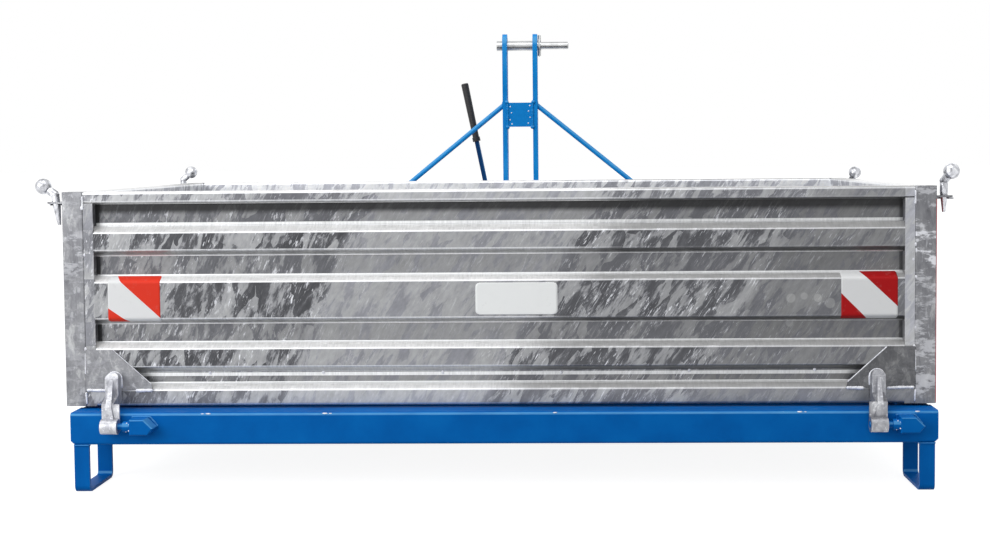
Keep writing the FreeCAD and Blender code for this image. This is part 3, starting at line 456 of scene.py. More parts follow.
def warning_film(name, left, top, upper, lower, red):
    """Retroreflective film: one white stripe running down to the right across red. upper and lower are
    (offset, slope) of the stripe's two edges, measured from the film's top left corner, (left, top)."""
    s = Shader(name)
    place = s.place()
    right, down = s.minus(place[0], left), s.minus(top, place[2])
    past_upper = s.minus(down, s.times(s.minus(right, upper[0]), upper[1]))
    before_lower = s.minus(s.linear(right, lower[1], lower[0]), down)
    stripe = s.times(s.band(past_upper, -0.0004, 0.0004), s.band(before_lower, -0.0004, 0.0004))
    grime = s.noise(s.vector(*place), 90.0, 6.0, 0.65)
    beads = s.noise(s.vector(*place), 1400.0, 2.0)
    colour = s.mix(stripe, red, WHITE)
    colour = s.mix(s.times(s.band(grime, 0.55, 0.85), 0.22), colour, (0.42, 0.40, 0.38))
    return s.finish(colour, s.linear(beads, 0.15, 0.38), 0.0, s.bump(beads, 0.08, 0.0003), 0.15)


def plain_film(name, colour, grimy):
    """A printed film or tape without any print."""
    s = Shader(name)
    place = s.place()
    grime = s.noise(s.vector(*place), 55.0, 6.0, 0.6)
    tone = s.mix(s.times(s.band(grime, 0.45, 0.85), 0.35), colour, grimy)
    return s.finish(tone, s.linear(grime, 0.15, 0.22), 0.0, s.bump(grime, 0.05, 0.0005))


# (tone, liveliness) of the zinc on each kind of band that the folds make in the sheet
RIM_BAND, PROUD_BAND, SUNK_BAND = (0.36, 0.75), (0.265, 1.05), (0.22, 0.60)
# (low, high, band) up the sheet
GATE_BANDS = ((0.000, 0.036, RIM_BAND), (0.040, 0.060, SUNK_BAND), (0.069, 0.114, PROUD_BAND),
              (0.116, 0.157, SUNK_BAND), (0.159, 0.240, PROUD_BAND), (0.242, 0.288, SUNK_BAND),
              (0.290, 0.330, PROUD_BAND), (0.336, 0.382, SUNK_BAND), (0.384, 0.404, RIM_BAND))
GATE_TONES = tuple((height, *band) for low, high, band in GATE_BANDS for height in (low, high))
GATE_FOLDS = (0.036, 0.068, 0.114, 0.159, 0.240, 0.288, 0.333, 0.382)
# painted highlight on the slopes that face up and painted reflection on those that face down, each on the
# left and on the right
SLOPE_HIGHLIGHT_AND_REFLECTION = ((0.80, 0.45), (0.62, 0.22))
# streaked_zinc says what each of these sets holds
# the low gain at the right end is partly the zinc's own calm dark patch, partly painted shade where the
# light falls off
GATE_ZONES = ((-0.80, (0.47, 1.10, 0.490)), (-0.34, (0.46, 1.10, 0.480)), (-0.305, (0.59, 0.30, 0.53)),
              (0.07, (0.58, 0.30, 0.52)), (0.10, (0.46, 1.00, 0.465)), (0.46, (0.44, 0.95, 0.470)),
              (0.49, (0.355, 0.36, 0.51)), (0.80, (0.345, 0.34, 0.50)))
# painted highlight lines in the tailgate's fold bends
GATE_HIGHLIGHT_LINES = ((0.0385, 0.0425), (0.0535, 0.0600), (0.1170, 0.1200), (0.1536, 0.1565), (0.2424, 0.2471),
              (0.2823, 0.2853), (0.3397, 0.3450))
GATE_LEANS = ((-0.45, 0.33), (-0.20, 0.52), (0.20, 0.60))
# the boards' rim, from 0.384 up, is painted near white: a painted highlight on its lit top
BOARD_TONES_AND_RIM_HIGHLIGHT = ((0.00, 0.26, 1.0), (0.381, 0.30, 1.0), (0.384, 0.84, 1.0), (0.404, 0.88, 1.0))
BOARD_ZONES = ((-0.80, (0.50, 0.60, 0.50)), (-0.10, (0.48, 0.35, 0.52)), (0.15, (0.45, 0.75, 0.47)),
               (0.80, (0.50, 0.40, 0.51)))
BOARD_LEANS = ((-0.50, 0.30), (0.40, 0.55))
FLOOR_TONES = ((0.00, 0.24, 1.0), (0.90, 0.28, 1.0))
SPOTS = ((0.5466, 0.1976, 0.0095, 0.30), (0.5706, 0.2012, 0.0080, 0.26), (0.5964, 0.1973, 0.0090, 0.32),
         (0.6186, 0.1879, 0.0105, 0.26), (0.5466, 0.1491, 0.0085, 0.18))


def board_zinc(name, across, seed):
    """The sheet of the three fixed boards."""
    return streaked_zinc(name, across, 2, board_foot, BOARD_TONES_AND_RIM_HIGHLIGHT, BOARD_ZONES, BOARD_LEANS, seed,
                         GATE_FOLDS, SLOPE_HIGHLIGHT_AND_REFLECTION)


finishes = {
    "tailgate": streaked_zinc(
        "zinc_tailgate", 0, 2, board_foot, GATE_TONES, GATE_ZONES, GATE_LEANS, 1.3, GATE_FOLDS, SLOPE_HIGHLIGHT_AND_REFLECTION,
        GATE_HIGHLIGHT_LINES, split=0.12, shade=(0.3575, 0.3700, 0.3835, 0.94),
        # the right strip's tone, lighter than the left's, is painted light falling from the left
        ends=(0.7565, 0.037, 0.31, 0.46, recess_depth), spots=SPOTS),
    "front": board_zinc("zinc_front_board", 0, 61.1),
    "side_left": board_zinc("zinc_side_left", 1, 121.4),
    "side_right": board_zinc("zinc_side_right", 1, 181.9),
    "floor": streaked_zinc("zinc_floor", 0, 1, floor_edge, FLOOR_TONES, BOARD_ZONES, BOARD_LEANS, 241.2),
    "post_left": cast_zinc("zinc_post_left", 0.235, 0.0, 95.0, 0.62, flow=0.45, smudge=0.35),
    "post_right": cast_zinc("zinc_post_right", 0.215, 2.0, 95.0, 0.66, flow=0.35, smudge=1.0),
    "gusset_left": cast_zinc("zinc_gusset_left", 0.250, 4.0, 90.0, 0.50, smudge=0.25),
    # the right gusset's darker zinc is painted shade, as the light falls off to the right
    "gusset_right": cast_zinc("zinc_gusset_painted_shade", 0.105, 4.0, 90.0, 0.40, smudge=0.10),
    "fitting": cast_zinc("zinc_fitting", 0.50, 6.0, 150.0, 0.62, metallic=0.7),
    # the right hinge arm's and keeper's darker zinc is painted shade, as the light falls off to the right
    "fitting_painted_shade": cast_zinc("zinc_fitting_painted_shade", 0.36, 6.0, 150.0, 0.66, metallic=0.7),
    "handle": bright_zinc("zinc_handle", 0.62, 3.0),
    "weld": cast_zinc("zinc_weld", 0.90, 8.0, 260.0, 0.30, metallic=0.10),
    "blue": machine_paint(
        "blue_paint", (0.0, 0.124, 0.455), (0.0, 0.104, 0.400), (0.001, 0.145, 0.500), 0.0),
    # the mast's lighter copy of the blue paint is painted light: the mast stands in more light
    "blue_mast_painted_light": machine_paint(
        "blue_paint_mast_painted_light", (0.008, 0.250, 0.680), (0.004, 0.205, 0.600), (0.030, 0.300, 0.740), 3.0),
    "blue_dark": machine_paint(
        "blue_paint_lever", (0.004, 0.045, 0.150), (0.002, 0.030, 0.105), (0.010, 0.070, 0.210), 7.0),
    "plated": plated("zinc_plated", 0.60),
    "black": moulded_black("black_moulding"),
    "sign": plain_film("white_sign", (0.90, 0.92, 0.92), (0.84, 0.86, 0.86)),
    "tape": plain_film("red_tape", (0.45, 0.02, 0.03), (0.30, 0.05, 0.05)),
}

FINISH_OF = {
    "tailgate_panel": "tailgate", "front_board": "front", "side_board_left": "side_left",
    "side_board_right": "side_right", "floor_sheet": "floor", "tailgate_post_left": "post_left",
    "tailgate_post_right": "post_right", "front_post_left": "post_left", "front_post_right": "post_right",
    # the right gusset, hinge arm and keeper take the zinc with painted shade
    "tailgate_gusset_left": "gusset_left", "tailgate_gusset_right": "gusset_right",
    "hinge_arm_right": "fitting_painted_shade", "keeper_right": "fitting_painted_shade", "lever_grip": "black",
}
# by how a name starts; a node that is in neither table is blue
FINISH_OF_KIND = {
    "drop_pin": "handle", "hinge_arm": "fitting", "keeper": "fitting",
    # the mast and braces take the blue paint's painted-light copy
    "mast_": "blue_mast_painted_light", "brace": "blue_mast_painted_light", "latch_lever": "blue_dark",
    "top_link": "plated", "lower_link": "plated", "pivot_pin": "plated",
}
for name, node in nodes.items():
    kind = next((finish for start, finish in FINISH_OF_KIND.items() if name.startswith(start)), "blue")
    node.data.materials.clear()
    node.data.materials.append(finishes[FINISH_OF.get(name, kind)])


# ---- pieces in mesh code

# (body, slot) of the pieces
GATE, BED = ("tailgate", "galvanised"), ("platform", "blue_paint")
HITCH, HITCH_ZINC, HITCH_BLACK = (
    ("hitch_frame", slot) for slot in ("blue_paint", "zinc_plated", "black_grip"))
X, Y, Z = Vector((1, 0, 0)), Vector((0, 1, 0)), Vector((0, 0, 1))
SIDES = ("left", "right")


def piece(name, points, faces, finish, home, smooth=True):
    mesh = bpy.data.meshes.new(name)
    mesh.from_pydata([tuple(p) for p in points], [], faces)
    mesh.materials.append(finish)
    mesh.polygons.foreach_set("use_smooth", [smooth] * len(faces))
    mesh.update()
    made = bpy.data.objects.new(name, mesh)
    bpy.context.scene.collection.objects.link(made)
    body, slot = home
    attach(made, body)


def surface_of(name):
    """The surface of a CAD node, for the rays that find where films and welds lie."""
    mesh = nodes[name].data
    points = [v.co.copy() for v in mesh.vertices]
    return BVHTree.FromPolygons(points, [tuple(p.vertices) for p in mesh.polygons])


def hit_from_behind(skin, x, z):
    """Where a ray from behind the box, level and straight ahead, meets a surface, or None."""
    return skin.ray_cast(Vector((x, -1.0, z)), Vector((0.0, 1.0, 0.0)))[0]


def film(name, left, right, low, high, lift, corner, finish):
    """A thin film on the rear of the tailgate: a grid laid on the sheet, with round corners and a rim."""
    columns, rows = 36, 44
    points, faces = [], []
    for row in range(rows + 1):
        z = low + (high - low) * row / rows
        inset = 0.0
        for edge in (z - low, high - z):
            if edge < corner:
                inset = max(inset, corner - sqrt(max(0.0, corner ** 2 - (corner - edge) ** 2)))
        for column in range(columns + 1):
            x = left + inset + (right - left - 2 * inset) * column / columns
            points.append(Vector((x, hit_from_behind(gate_skin, x, z).y - lift, z)))
    width = columns + 1
    for row in range(rows):
        for column in range(columns):
            a = row * width + column
            faces.append((a, a + 1, a + 1 + width, a + width))
    rim = list(range(width)) + [r * width + columns for r in range(1, rows + 1)]
    rim += [rows * width + c for c in range(columns - 1, -1, -1)]
    rim += [r * width for r in range(rows - 1, 0, -1)]
    base, into_sheet = len(points), Vector((0.0, lift * 1.6, 0.0))
    points += [points[i] + into_sheet for i in rim]
    for i in range(len(rim)):
        j = (i + 1) % len(rim)
        faces.append((rim[j], rim[i], base + i, base + j))
    piece(name, points, faces, finish, GATE)


def round_path(centre, radius, a, b, count=28):
    """Points evenly round a circle, from the direction a towards the direction b."""
    turns = [2 * pi * i / count for i in range(count)]
    return [centre + (a * cos(turn) + b * sin(turn)) * radius for turn in turns]


def faces_between(rings, around):
    """The faces that join rings of points, each to the next."""
    faces = []
    for ring in range(rings - 1):
        for k in range(around):
            a, b = ring * around + k, ring * around + (k + 1) % around
            faces.append((a, b, b + around, a + around))
    return faces


def faces_of_rod(rings, around):
    """The faces of a closed rod made of rings of points."""
    ends = [tuple(range(around - 1, -1, -1)), tuple(range((rings - 1) * around, rings * around))]
    return faces_between(rings, around) + ends


def bead_mesh(path, radius, seed):
    """Points and faces of a weld bead: overlapping ripples along a path, uneven in width."""
    around, step_share, ripple_pitch, ripple_depth = 9, 0.28, 0.75, 0.20
    rng = random.Random(seed)
    path = [Vector(p) for p in path]
    lengths = [(b - a).length for a, b in zip(path, path[1:])]
    total = sum(lengths)
    steps = max(6, int(total / (radius * step_share)))
    points = []
    wobble = 0.0
    for step in range(steps + 1):
        gone = total * step / steps
        rest, leg = gone, 0
        while leg < len(lengths) - 1 and rest > lengths[leg]:
            rest -= lengths[leg]
            leg += 1
        forward = (path[leg + 1] - path[leg]).normalized()
        centre = path[leg] + forward * rest
        side = forward.cross(Vector((0.31, 0.87, 0.38))).normalized()
        rise = side.cross(forward).normalized()
        ripple = abs(sin(pi * gone / (radius * ripple_pitch)))
        ripple = (1.0 - ripple_depth) + ripple_depth * ripple
        wobble = 0.85 * wobble + rng.uniform(-0.07, 0.07)
        end = min(1.0, 0.25 + min(gone, total - gone) / (radius * 1.1))
        size = radius * ripple * (1.0 + wobble) * end
        centre = centre + side * rng.uniform(-0.06, 0.06) * radius
        for k in range(around):
            turn = 2 * pi * k / around
            points.append(centre + side * cos(turn) * size + rise * sin(turn) * size)
    return points, faces_of_rod(steps + 1, around)


def bump_mesh(centre, radius, seed, flat):
    """Points and faces of a weld tack: a small lumpy ball; flat scales it along x, y and z."""
    rng = random.Random(seed)
    rings, around = 6, 10
    points = [Vector(centre) + Vector((0, 0, -radius * flat[2]))]
    for ring in range(1, rings):
        polar = pi * ring / rings
        for k in range(around):
            turn = 2 * pi * k / around
            size = radius * rng.uniform(0.86, 1.12)
            points.append(Vector(centre) + Vector((size * flat[0] * sin(polar) * cos(turn),
                                                   size * flat[1] * sin(polar) * sin(turn),
                                                   -size * flat[2] * cos(polar))))
    points.append(Vector(centre) + Vector((0, 0, radius * flat[2])))
    faces = []
    for k in range(around):
        j = (k + 1) % around
        faces.append((0, 1 + j, 1 + k))
        for ring in range(rings - 2):
            a, b = 1 + ring * around + k, 1 + ring * around + j
            faces.append((a, b, b + around, a + around))
        last = 1 + (rings - 2) * around
        faces.append((last + k, last + j, len(points) - 1))
    return points, faces


def turned(profile, start, axis, around=28):
    """Points and faces of a turned part on a unit axis; profile holds (distance along it, radius)."""
    side = axis.orthogonal().normalized()
    rise = axis.cross(side)
    points = []
    for along, radius in profile:
        points += round_path(start + axis * along, radius, side, rise, around)
    return points, faces_of_rod(len(profile), around)


def wire_ring(path, radius, around=10):
    """Points and faces of a wire bent round a closed path."""
    count = len(path)
    points, faces = [], []
    side = None
    for i, centre in enumerate(path):
        forward = (path[(i + 1) % count] - path[i - 1]).normalized()
        side = forward.orthogonal() if side is None else side - forward * side.dot(forward)
        side = side.normalized()
        points += round_path(centre, radius, side, forward.cross(side), around)
        for k in range(around):
            a, b = i * around + k, i * around + (k + 1) % around
            faces.append((a, b, (b + around) % (count * around), (a + around) % (count * around)))
    return points, faces


def joined(name, meshes, finish, home):
    """One piece out of several (points, faces)."""
    points, faces = [], []
    for some_points, some_faces in meshes:
        base = len(points)
        points += some_points
        faces += [tuple(base + i for i in face) for face in some_faces]
    piece(name, points, faces, finish, home)


def seams(name, paths, finish, home, radius, seed):
    """Weld beads along several paths, as one piece."""
    joined(name, [bead_mesh(path, radius, seed + i) for i, path in enumerate(paths)], finish, home)


def tacks(name, places, finish, home, seed, flat=(1.0, 1.0, 1.0)):
    """Weld tacks, each (centre, size), as one piece."""
    joined(name, [bump_mesh(at, size, seed + i, flat) for i, (at, size) in enumerate(places)], finish, home)


def middle_of(low, high):
    return (low + high) / 2


# ---- films on the tailgate

gate_skin = surface_of("tailgate_panel")
# (side, left, right, foot, top, upper and lower edge of the stripe, red); foot and top from board_foot
for side, left, right, low, high, upper, lower, red in (
        ("left", -0.7310, -0.6325, 0.1590, 0.2442, (0.014, 0.92), (0.059, 0.68), RED),
        ("right", 0.6394, 0.7435, 0.1578, 0.2452, (0.036, 0.94), (0.039, 1.0), DEEP_RED)):
    low, high = board_foot + low, board_foot + high
    striped = warning_film("warning_film_" + side, left, high, upper, lower, red)
    film("warning_sticker_" + side, left, right, low, high, 0.0005, 0.002, striped)
film("blank_sign", -0.0395, 0.1138, board_foot + 0.1696, board_foot + 0.2294, 0.0012, 0.008,
     finishes["sign"])

# ---- welds and tacks on the tailgate

# mast is the blue paint's painted-light copy, also on the mast's welds
weld, blue, mast, bright = (finishes[name] for name in ("weld", "blue", "blue_mast_painted_light", "plated"))
OFF = 0.0004    # how far most welds lie off the surfaces that they join

gusset_low, gusset_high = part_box("tailgate_gusset_right")
face_y = panel_low.y
inner, outer, foot, head = gusset_low.x, gusset_high.x, gusset_low.z, gusset_high.z
slope_foot, slope_head = inner + 0.004, inner + 0.076
seam = [[(inner - 0.001, face_y - 0.0036, foot - 0.0006), (0.682, face_y - 0.0036, foot - 0.0012)],
        [(0.722, face_y - 0.0036, foot - 0.0016), (0.742, face_y - 0.0036, foot - 0.0006),
         (outer - 0.001, face_y - 0.0036, foot)]]
toe = [[(slope_foot - 0.0015, face_y - 0.0012, foot + 0.010),
        (slope_head - 0.0015, face_y - 0.0012, head - 0.001)]]
upright = [[(outer, face_y - 0.001, panel_low.z + 0.004), (outer + 0.001, face_y - 0.001, foot - 0.004)],
           [(outer + 0.001, face_y - 0.0012, foot + 0.030), (outer, face_y - 0.001, head - 0.006)],
           [(outer, face_y - 0.0005, panel_high.z - 0.034),
            (outer + 0.0005, face_y - 0.0005, panel_high.z - 0.008)]]


def on_side(paths, side):
    """Paths drawn for the right side, as they are or mirrored to the left side."""
    sign = 1 if side == "right" else -1
    return [[(sign * x, y, z) for x, y, z in path] for path in paths]


for side in ("right", "left"):
    toe_radius = 0.0013 if side == "right" else 0.0010
    seams("gusset_seam_" + side, on_side(seam, side), weld, GATE, 0.0034, 11)
    seams("gusset_toe_bead_" + side, on_side(toe, side), weld, GATE, toe_radius, 23)
    seams("post_seam_" + side, on_side(upright, side), weld, GATE, 0.0021, 31)


def arm_head_path(arm):
    """Round the head of a hinge arm, where it meets the gusset."""
    low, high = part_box(arm)
    points = [v.co for v in nodes[arm].data.vertices if v.co.y > high.y - 0.0005 and v.co.z > gusset_low.z]
    x0, x1 = min(p.x for p in points), max(p.x for p in points)
    y, z, off = high.y - 0.0008, gusset_low.z + 0.004, 0.0008
    half = (x1 - x0) / 2
    path = [(x0 - off, y, z)]
    for step in range(9):
        turn = pi * (1 - step / 8)
        x = middle_of(x0, x1) + (half + off) * cos(turn)
        path.append((x, y, high.z - half + (half + OFF) * sin(turn)))
    path.append((x1 + off, y, z))
    return path


for side in SIDES:
    seams("arm_seam_" + side, [arm_head_path("hinge_arm_" + side)], weld, GATE, 0.0017, 47)

# (x, distance below the top of the sheet)
FOLD_TACKS = ((-0.5458, 0.3455), (-0.3301, 0.3445), (-0.1041, 0.3454), (0.1190, 0.3463), (0.3597, 0.3436),
              (0.5936, 0.3427))
recess_y = face_y + 0.020
places = [((x, recess_y - 0.0006, panel_high.z - drop), 0.0030) for x, drop in FOLD_TACKS]
tacks("fold_tacks", places, weld, GATE, 60, (1.0, 0.6, 1.15))

# (x, distance below the top of the sheet, size)
DRIPS = ((0.776, 0.108, 0.0024), (0.772, 0.136, 0.0020), (0.777, 0.168, 0.0018), (-0.777, 0.030, 0.0026),
         (-0.774, 0.118, 0.0020), (-0.776, 0.296, 0.0024), (-0.7735, 0.322, 0.0018), (0.774, 0.298, 0.0026),
         (0.7765, 0.262, 0.0018))
places = [((x, face_y + 0.0002, panel_high.z - drop), size) for x, drop, size in DRIPS]
tacks("zinc_drips", places, weld, GATE, 80, (1.0, 0.45, 1.6))

# ---- welds on the platform


def longest_stretch(name, y_limit, z, step=0.0015):
    """The longest stretch of a node, at one height, that is further back than y_limit."""
    skin = surface_of(name)
    low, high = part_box(name)
    found, start, x = [], None, low.x + step / 2
    while x < high.x:
        hit = hit_from_behind(skin, x, z)
        inside = hit is not None and hit.y < y_limit
        if inside and start is None:
            start = x
        if start is not None and not inside:
            found.append((start, x - step))
            start = None
        x += step
    if start is not None:
        found.append((start, high.x - step))
    return max(found, key=lambda stretch: stretch[1] - stretch[0])


# (offset from a point 4 mm left of the block's foot, size)
BLOCK_FLECKS = (((-0.001, -0.0040, 0.0075), 0.0014), ((0.003, -0.0055, 0.0050), 0.0012),
                ((0.003, -0.0060, -0.0060), 0.0016), ((-0.003, -0.0030, -0.0080), 0.0013))
beam_low, beam_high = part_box("rear_beam")
for side in SIDES:
    low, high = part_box("hinge_block_" + side)
    head = longest_stretch("hinge_block_" + side, low.y + 0.004, high.z - 0.004)
    foot = longest_stretch("hinge_block_" + side, low.y + 0.004, low.z + 0.004)
    middle_z = middle_of(low.z, high.z)
    outline = ((foot[1] - 0.002, low.z - OFF), (foot[0] - 0.0008, low.z - OFF),
               (foot[0] - 0.0012, high.z + OFF), (head[1], high.z + OFF),
               (high.x + 0.0006, middle_z - 0.002), (foot[1] - 0.002, low.z - OFF))
    path = [(x, beam_low.y - OFF, z) for x, z in outline]
    seams("block_seam_" + side, [path], blue, BED, 0.0024, 90)
    beside = Vector((foot[0] - 0.004, middle_of(low.y, high.y) - 0.006, middle_z))
    places = [(beside + Vector(offset), size) for offset, size in BLOCK_FLECKS]
    tacks("block_flecks_" + side, places, weld, BED, 95)

# (x, size)
BEAM_SPECKS = ((-0.534, 0.0022), (-0.545, 0.0014), (-0.317, 0.0024), (-0.307, 0.0014), (0.108, 0.0020),
               (0.556, 0.0022), (0.566, 0.0013), (0.770, 0.0022))
places = [((x, beam_low.y + 0.0012, beam_high.z - 0.0022), size) for x, size in BEAM_SPECKS]
tacks("beam_specks", places, weld, BED, 100, (2.2, 0.7, 0.6))

for name, home in (("rear_foot_left", BED), ("rear_foot_right", BED),
                   ("front_foot_left", HITCH), ("front_foot_right", HITCH)):
    low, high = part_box(name)
    z = high.z - 0.0006
    long_seams = [[(low.x - OFF, y, z), (high.x + OFF, y, z)] for y in (low.y + 0.0002, high.y - 0.0002)]
    short_seams = [[(x, low.y + 0.001, z), (x, low.y + 0.006, z)] for x in (low.x, high.x)]
    seams(name + "_seam", long_seams + short_seams, blue, home, 0.0020, 120)

# ---- welds on the hitch frame

low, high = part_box("mast_gusset")
paths = [[(x, low.y - 0.0006, low.z - 0.002), (x, low.y - 0.0006, high.z + 0.002)]
         for x in (low.x + 0.0010, high.x - 0.0010)]
seams("mast_seam", paths, mast, HITCH, 0.0032, 140)
corners = ((low.x - 0.001, high.z + 0.001), (high.x + 0.001, high.z + 0.001),
           (low.x + 0.001, low.z - 0.001), (high.x - 0.001, low.z - 0.001))
places = [((x, low.y - 0.0010, z), 0.0052) for x, z in corners]
tacks("mast_corner_welds", places, mast, HITCH, 150, (1.0, 0.7, 1.0))
# (distance from the plate's left edge, distance below its top)
MAST_SPECKS = ((0.008, 0.010), (0.011, 0.026), (0.007, 0.044), (0.012, 0.055), (0.058, 0.008),
               (0.055, 0.022), (0.059, 0.038), (0.054, 0.053))
places = [((low.x + dx, low.y - 0.0003, high.z - dz), 0.0016) for dx, dz in MAST_SPECKS]
tacks("mast_weld_specks", places, weld, HITCH, 160, (1.2, 0.6, 1.2))


def end_of(name, height):
    """The middle of a node's mesh within 6 mm of a height."""
    near = [v.co for v in nodes[name].data.vertices if abs(v.co.z - height) < 0.006]
    return sum(near, Vector()) / len(near)


for side in SIDES:
    low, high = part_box("brace_" + side)
    head, foot = end_of("brace_" + side, high.z), end_of("brace_" + side, low.z)
    head = Vector((high.x if side == "left" else low.x, head.y, high.z - 0.0068))
    rings = []
    for centre, normal, radius in ((head, X, 0.0082), (foot, Z, 0.0090)):
        a = normal.orthogonal().normalized()
        ring = round_path(centre, radius, a, normal.cross(a), 16)
        rings.append(ring + ring[:1])
    seams("brace_seams_" + side, rings, mast, HITCH, 0.0024, 170)

cross_low, cross_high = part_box("hitch_crossbeam")


def over_crossbeam(*places):
    """Paths over the top of the crossbeam, from behind to the front, one at each place along it."""
    z = cross_high.z + OFF
    return [[(x, cross_low.y + 0.004, z), (x, cross_high.y - 0.004, z)] for x in places]


for name in ("mast_plate_left", "mast_plate_right"):
    low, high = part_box(name)
    seams(name + "_seam", over_crossbeam(low.x - OFF, high.x + OFF), mast, HITCH, 0.0028, 190)
for side in SIDES:
    low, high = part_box("lower_bracket_" + side)
    paths = over_crossbeam(low.x - OFF, low.x + 0.0104, high.x - 0.0104, high.x + OFF)
    seams("bracket_seams_" + side, paths, blue, HITCH, 0.0026, 210)

# ---- small fittings

# (distance along the axis, radius)
LINCH_PIN = ((0.0, 0.0030), (0.003, 0.0052), (0.036, 0.0052), (0.037, 0.0075), (0.044, 0.0075),
             (0.0455, 0.0060))
WASHER = ((0.0, 0.0128), (0.0, 0.0175), (0.0004, 0.0180), (0.0026, 0.0180), (0.0030, 0.0175),
          (0.0030, 0.0128))
NUT = ((0.0, 0.0115), (0.0006, 0.0128), (0.0058, 0.0128), (0.0066, 0.0112))
for side, sign in (("left", -1), ("right", 1)):
    low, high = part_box("lower_link_pin_" + side)
    hole_x = high.x - 0.0155 if sign > 0 else low.x + 0.0155
    hole = Vector((hole_x, middle_of(low.y, high.y), middle_of(low.z, high.z)))
    shank = turned(LINCH_PIN, hole - Z * 0.024, Z)
    ring = wire_ring(round_path(hole - X * sign * 0.003, 0.0205, Y, Z, 36), 0.0019)
    joined("linch_pin_" + side, [shank, ring], bright, HITCH_ZINC)

    low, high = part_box("pivot_pin_" + side)
    washers = []
    for x, out in ((low.x, -1), (high.x, 1)):
        hub = Vector((x - out * 0.0045, middle_of(low.y, high.y), middle_of(low.z, high.z)))
        washers.append(turned(WASHER, hub, X * out))
    joined("pivot_washers_" + side, washers, bright, HITCH_ZINC)

low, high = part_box("latch_hook")
bolt = Vector((low.x + 0.014, high.y - 0.0072, low.z + 0.014))
points = []
for along, radius in NUT:
    points += round_path(bolt + Y * along, radius, X, Z, 6)
piece("latch_nut", points, faces_of_rod(len(NUT), 6), bright, HITCH_ZINC, smooth=False)

# (depth inside the beam's end, share of the beam's clear width) of the rings of a plug
PLUG = ((0.014, 0.97), (0.0016, 1.0), (0.0004, 0.985), (0.0002, 0.90), (0.0012, 0.80), (0.0012, 0.02))
WALL, AROUND = 0.0045, 32
for side, x, inward in (("left", cross_low.x, 1), ("right", cross_high.x, -1)):
    half_y, half_z = (cross_high.y - cross_low.y) / 2 - WALL, (cross_high.z - cross_low.z) / 2 - WALL
    centre_y, centre_z = middle_of(cross_high.y, cross_low.y), middle_of(cross_high.z, cross_low.z)
    points = []
    for depth, share in PLUG:
        for k in range(AROUND):
            turn = 2 * pi * (k + 0.5) / AROUND
            c, d = cos(turn), sin(turn)
            square = min(1.0 / max(abs(c), abs(d)) * (1.0 if share > 0.5 else 0.9), 1.30)
            points.append((x + inward * depth, centre_y + half_y * share * c * square,
                           centre_z + half_z * share * d * square))
    middle = tuple(range((len(PLUG) - 1) * AROUND, len(PLUG) * AROUND))
    faces = faces_between(len(PLUG), AROUND) + [middle]
    piece("beam_plug_" + side, points, faces, finishes["black"], HITCH_BLACK)

# ---- tape on the right post's outer face

post_low, post_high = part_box("tailgate_post_right")
outside, bend, lift = 0.815, 0.003, 0.0004
bend_x, bend_y = outside - bend, post_low.y + bend


def round_bend(radius, degrees):
    """A point on the post's rounded edge, that many degrees from its outer face."""
    turn = radians(degrees)
    return bend_x + radius * cos(turn), bend_y - radius * sin(turn)


section = [(0.8149, bend_y + 0.0262), (outside + lift, bend_y + 0.0256), (outside + lift, bend_y + 0.013)]
section += [round_bend(bend + lift, degrees) for degrees in range(0, 61, 10)]
section.append(round_bend(bend - 0.0001, 63))
bottom, top, strips = post_low.z + 0.002, post_high.z - 0.0245, 60
points = [(x, y, bottom + (top - bottom) * row / strips) for row in range(strips + 1) for x, y in section]
width = len(section)
faces = [(r * width + c + 1, r * width + c, (r + 1) * width + c, (r + 1) * width + c + 1)
         for r in range(strips) for c in range(width - 1)]
piece("side_tape", points, faces, finishes["tape"], GATE)

# ---- camera, light and floor

camera_data = bpy.data.cameras.new("camera")
camera = bpy.data.objects.new("camera", camera_data)
bpy.context.scene.collection.objects.link(camera)
eye = Vector((0.1460, -3.1308, 0.6194))
pitch, roll, yaw = (radians(degrees) for degrees in (2.823, -0.478, -1.557))
flat_right = Vector((cos(yaw), -sin(yaw), 0.0))
forward = Vector((cos(pitch) * sin(yaw), cos(pitch) * cos(yaw), -sin(pitch)))
lifted = Vector((sin(pitch) * sin(yaw), sin(pitch) * cos(yaw), cos(pitch)))
right = flat_right * cos(roll) + lifted * sin(roll)
upward = lifted * cos(roll) - flat_right * sin(roll)
camera.matrix_world = Matrix.Translation(eye) @ Matrix((right, upward, -forward)).transposed().to_4x4()
camera_data.sensor_width = 36.0
camera_data.lens = 51.175
camera_data.shift_x = -0.0416
camera_data.shift_y = -0.0491
camera_data.clip_start = 0.05
camera_data.clip_end = 200.0
bpy.context.scene.camera = camera

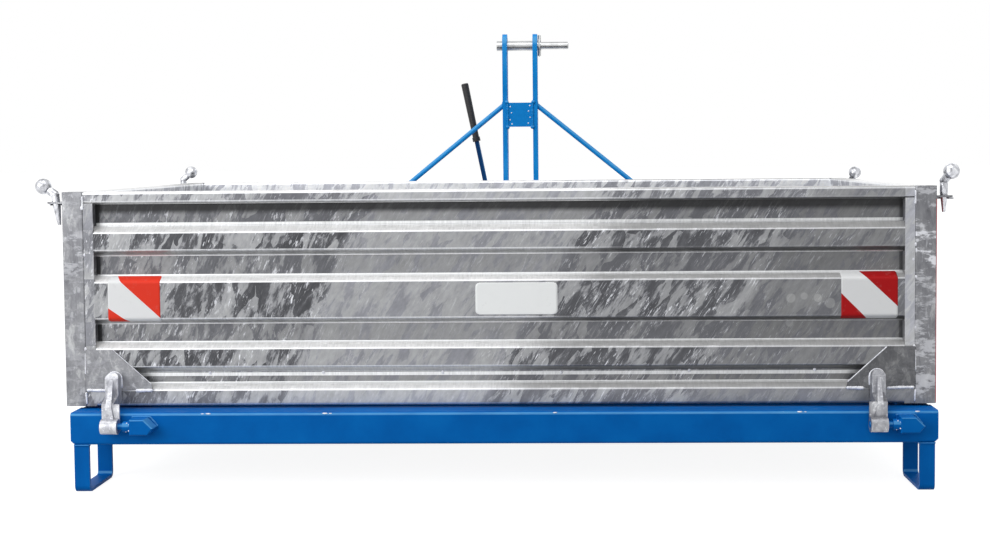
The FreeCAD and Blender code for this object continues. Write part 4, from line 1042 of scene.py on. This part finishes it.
for name, place, target, width, height, radiance in (
        ("light_above", (-0.5, -1.1, 2.8), (0.0, -0.1, 0.3), 3.4, 1.6, 1.8),
        ("light_left", (-2.4, -2.6, 1.4), (0.0, -0.4, 0.3), 2.4, 2.0, 3.0),
        ("light_behind", (1.5, 3.2, 2.4), (0.0, 0.3, 0.4), 2.4, 1.2, 1.2)):
    lamp = bpy.data.lights.new(name, "AREA")
    lamp.shape = "RECTANGLE"
    lamp.size, lamp.size_y = width, height
    lamp.energy = radiance * pi * width * height
    light = bpy.data.objects.new(name, lamp)
    bpy.context.scene.collection.objects.link(light)
    light.location = place
    light.rotation_euler = (Vector(target) - Vector(place)).to_track_quat("-Z", "Y").to_euler()


def seen_directly(shader):
    """1 for rays that show the set itself: to the camera, in a reflection or through glass."""
    rays = shader.node("ShaderNodeLightPath").outputs
    reflected = shader.math("MAXIMUM", rays["Is Glossy Ray"], rays["Is Transmission Ray"])
    return shader.math("MAXIMUM", rays["Is Camera Ray"], reflected)


PURE_WHITE = (1.0, 1.0, 1.0, 1.0)
SKY_LIGHT, SKY_SEEN, FLOOR_SEEN = 0.64, 1.00, 0.90   # strengths as light and as seen directly
sky = Shader("studio", bpy.data.worlds)
background = sky.node("ShaderNodeBackground")
background.inputs["Color"].default_value = PURE_WHITE
sky.feed(background.inputs["Strength"], sky.linear(seen_directly(sky), SKY_SEEN - SKY_LIGHT, SKY_LIGHT))
bpy.context.scene.world = sky.surface(background)

ground = Shader("studio_floor")
pale = ground.noise(ground.vector(*ground.place()), 3.0, 2.0)
matte = ground.node("ShaderNodeBsdfDiffuse")
ground.feed(matte.inputs["Color"], ground.ramp(pale, 0.0, 1.0, ((0.0, (0.34,) * 3), (1.0, (0.36,) * 3))))
glow = ground.node("ShaderNodeEmission")
glow.inputs["Color"].default_value = PURE_WHITE
ground.feed(glow.inputs["Strength"], ground.times(seen_directly(ground), FLOOR_SEEN))
both = ground.node("ShaderNodeAddShader")
ground.feed(both.inputs[0], matte.outputs[0])
ground.feed(both.inputs[1], glow.outputs[0])
floor_mesh = bpy.data.meshes.new("studio_floor")
reach = 60.0
floor_mesh.from_pydata([(x * reach, y * reach, 0) for x, y in ((-1, -1), (1, -1), (1, 1), (-1, 1))],
                       [], [(0, 1, 2, 3)])
floor_mesh.materials.append(ground.surface(both))
studio_floor = bpy.data.objects.new("studio_floor", floor_mesh)
bpy.context.scene.collection.objects.link(studio_floor)

bpy.context.scene.view_settings.view_transform = "Standard"
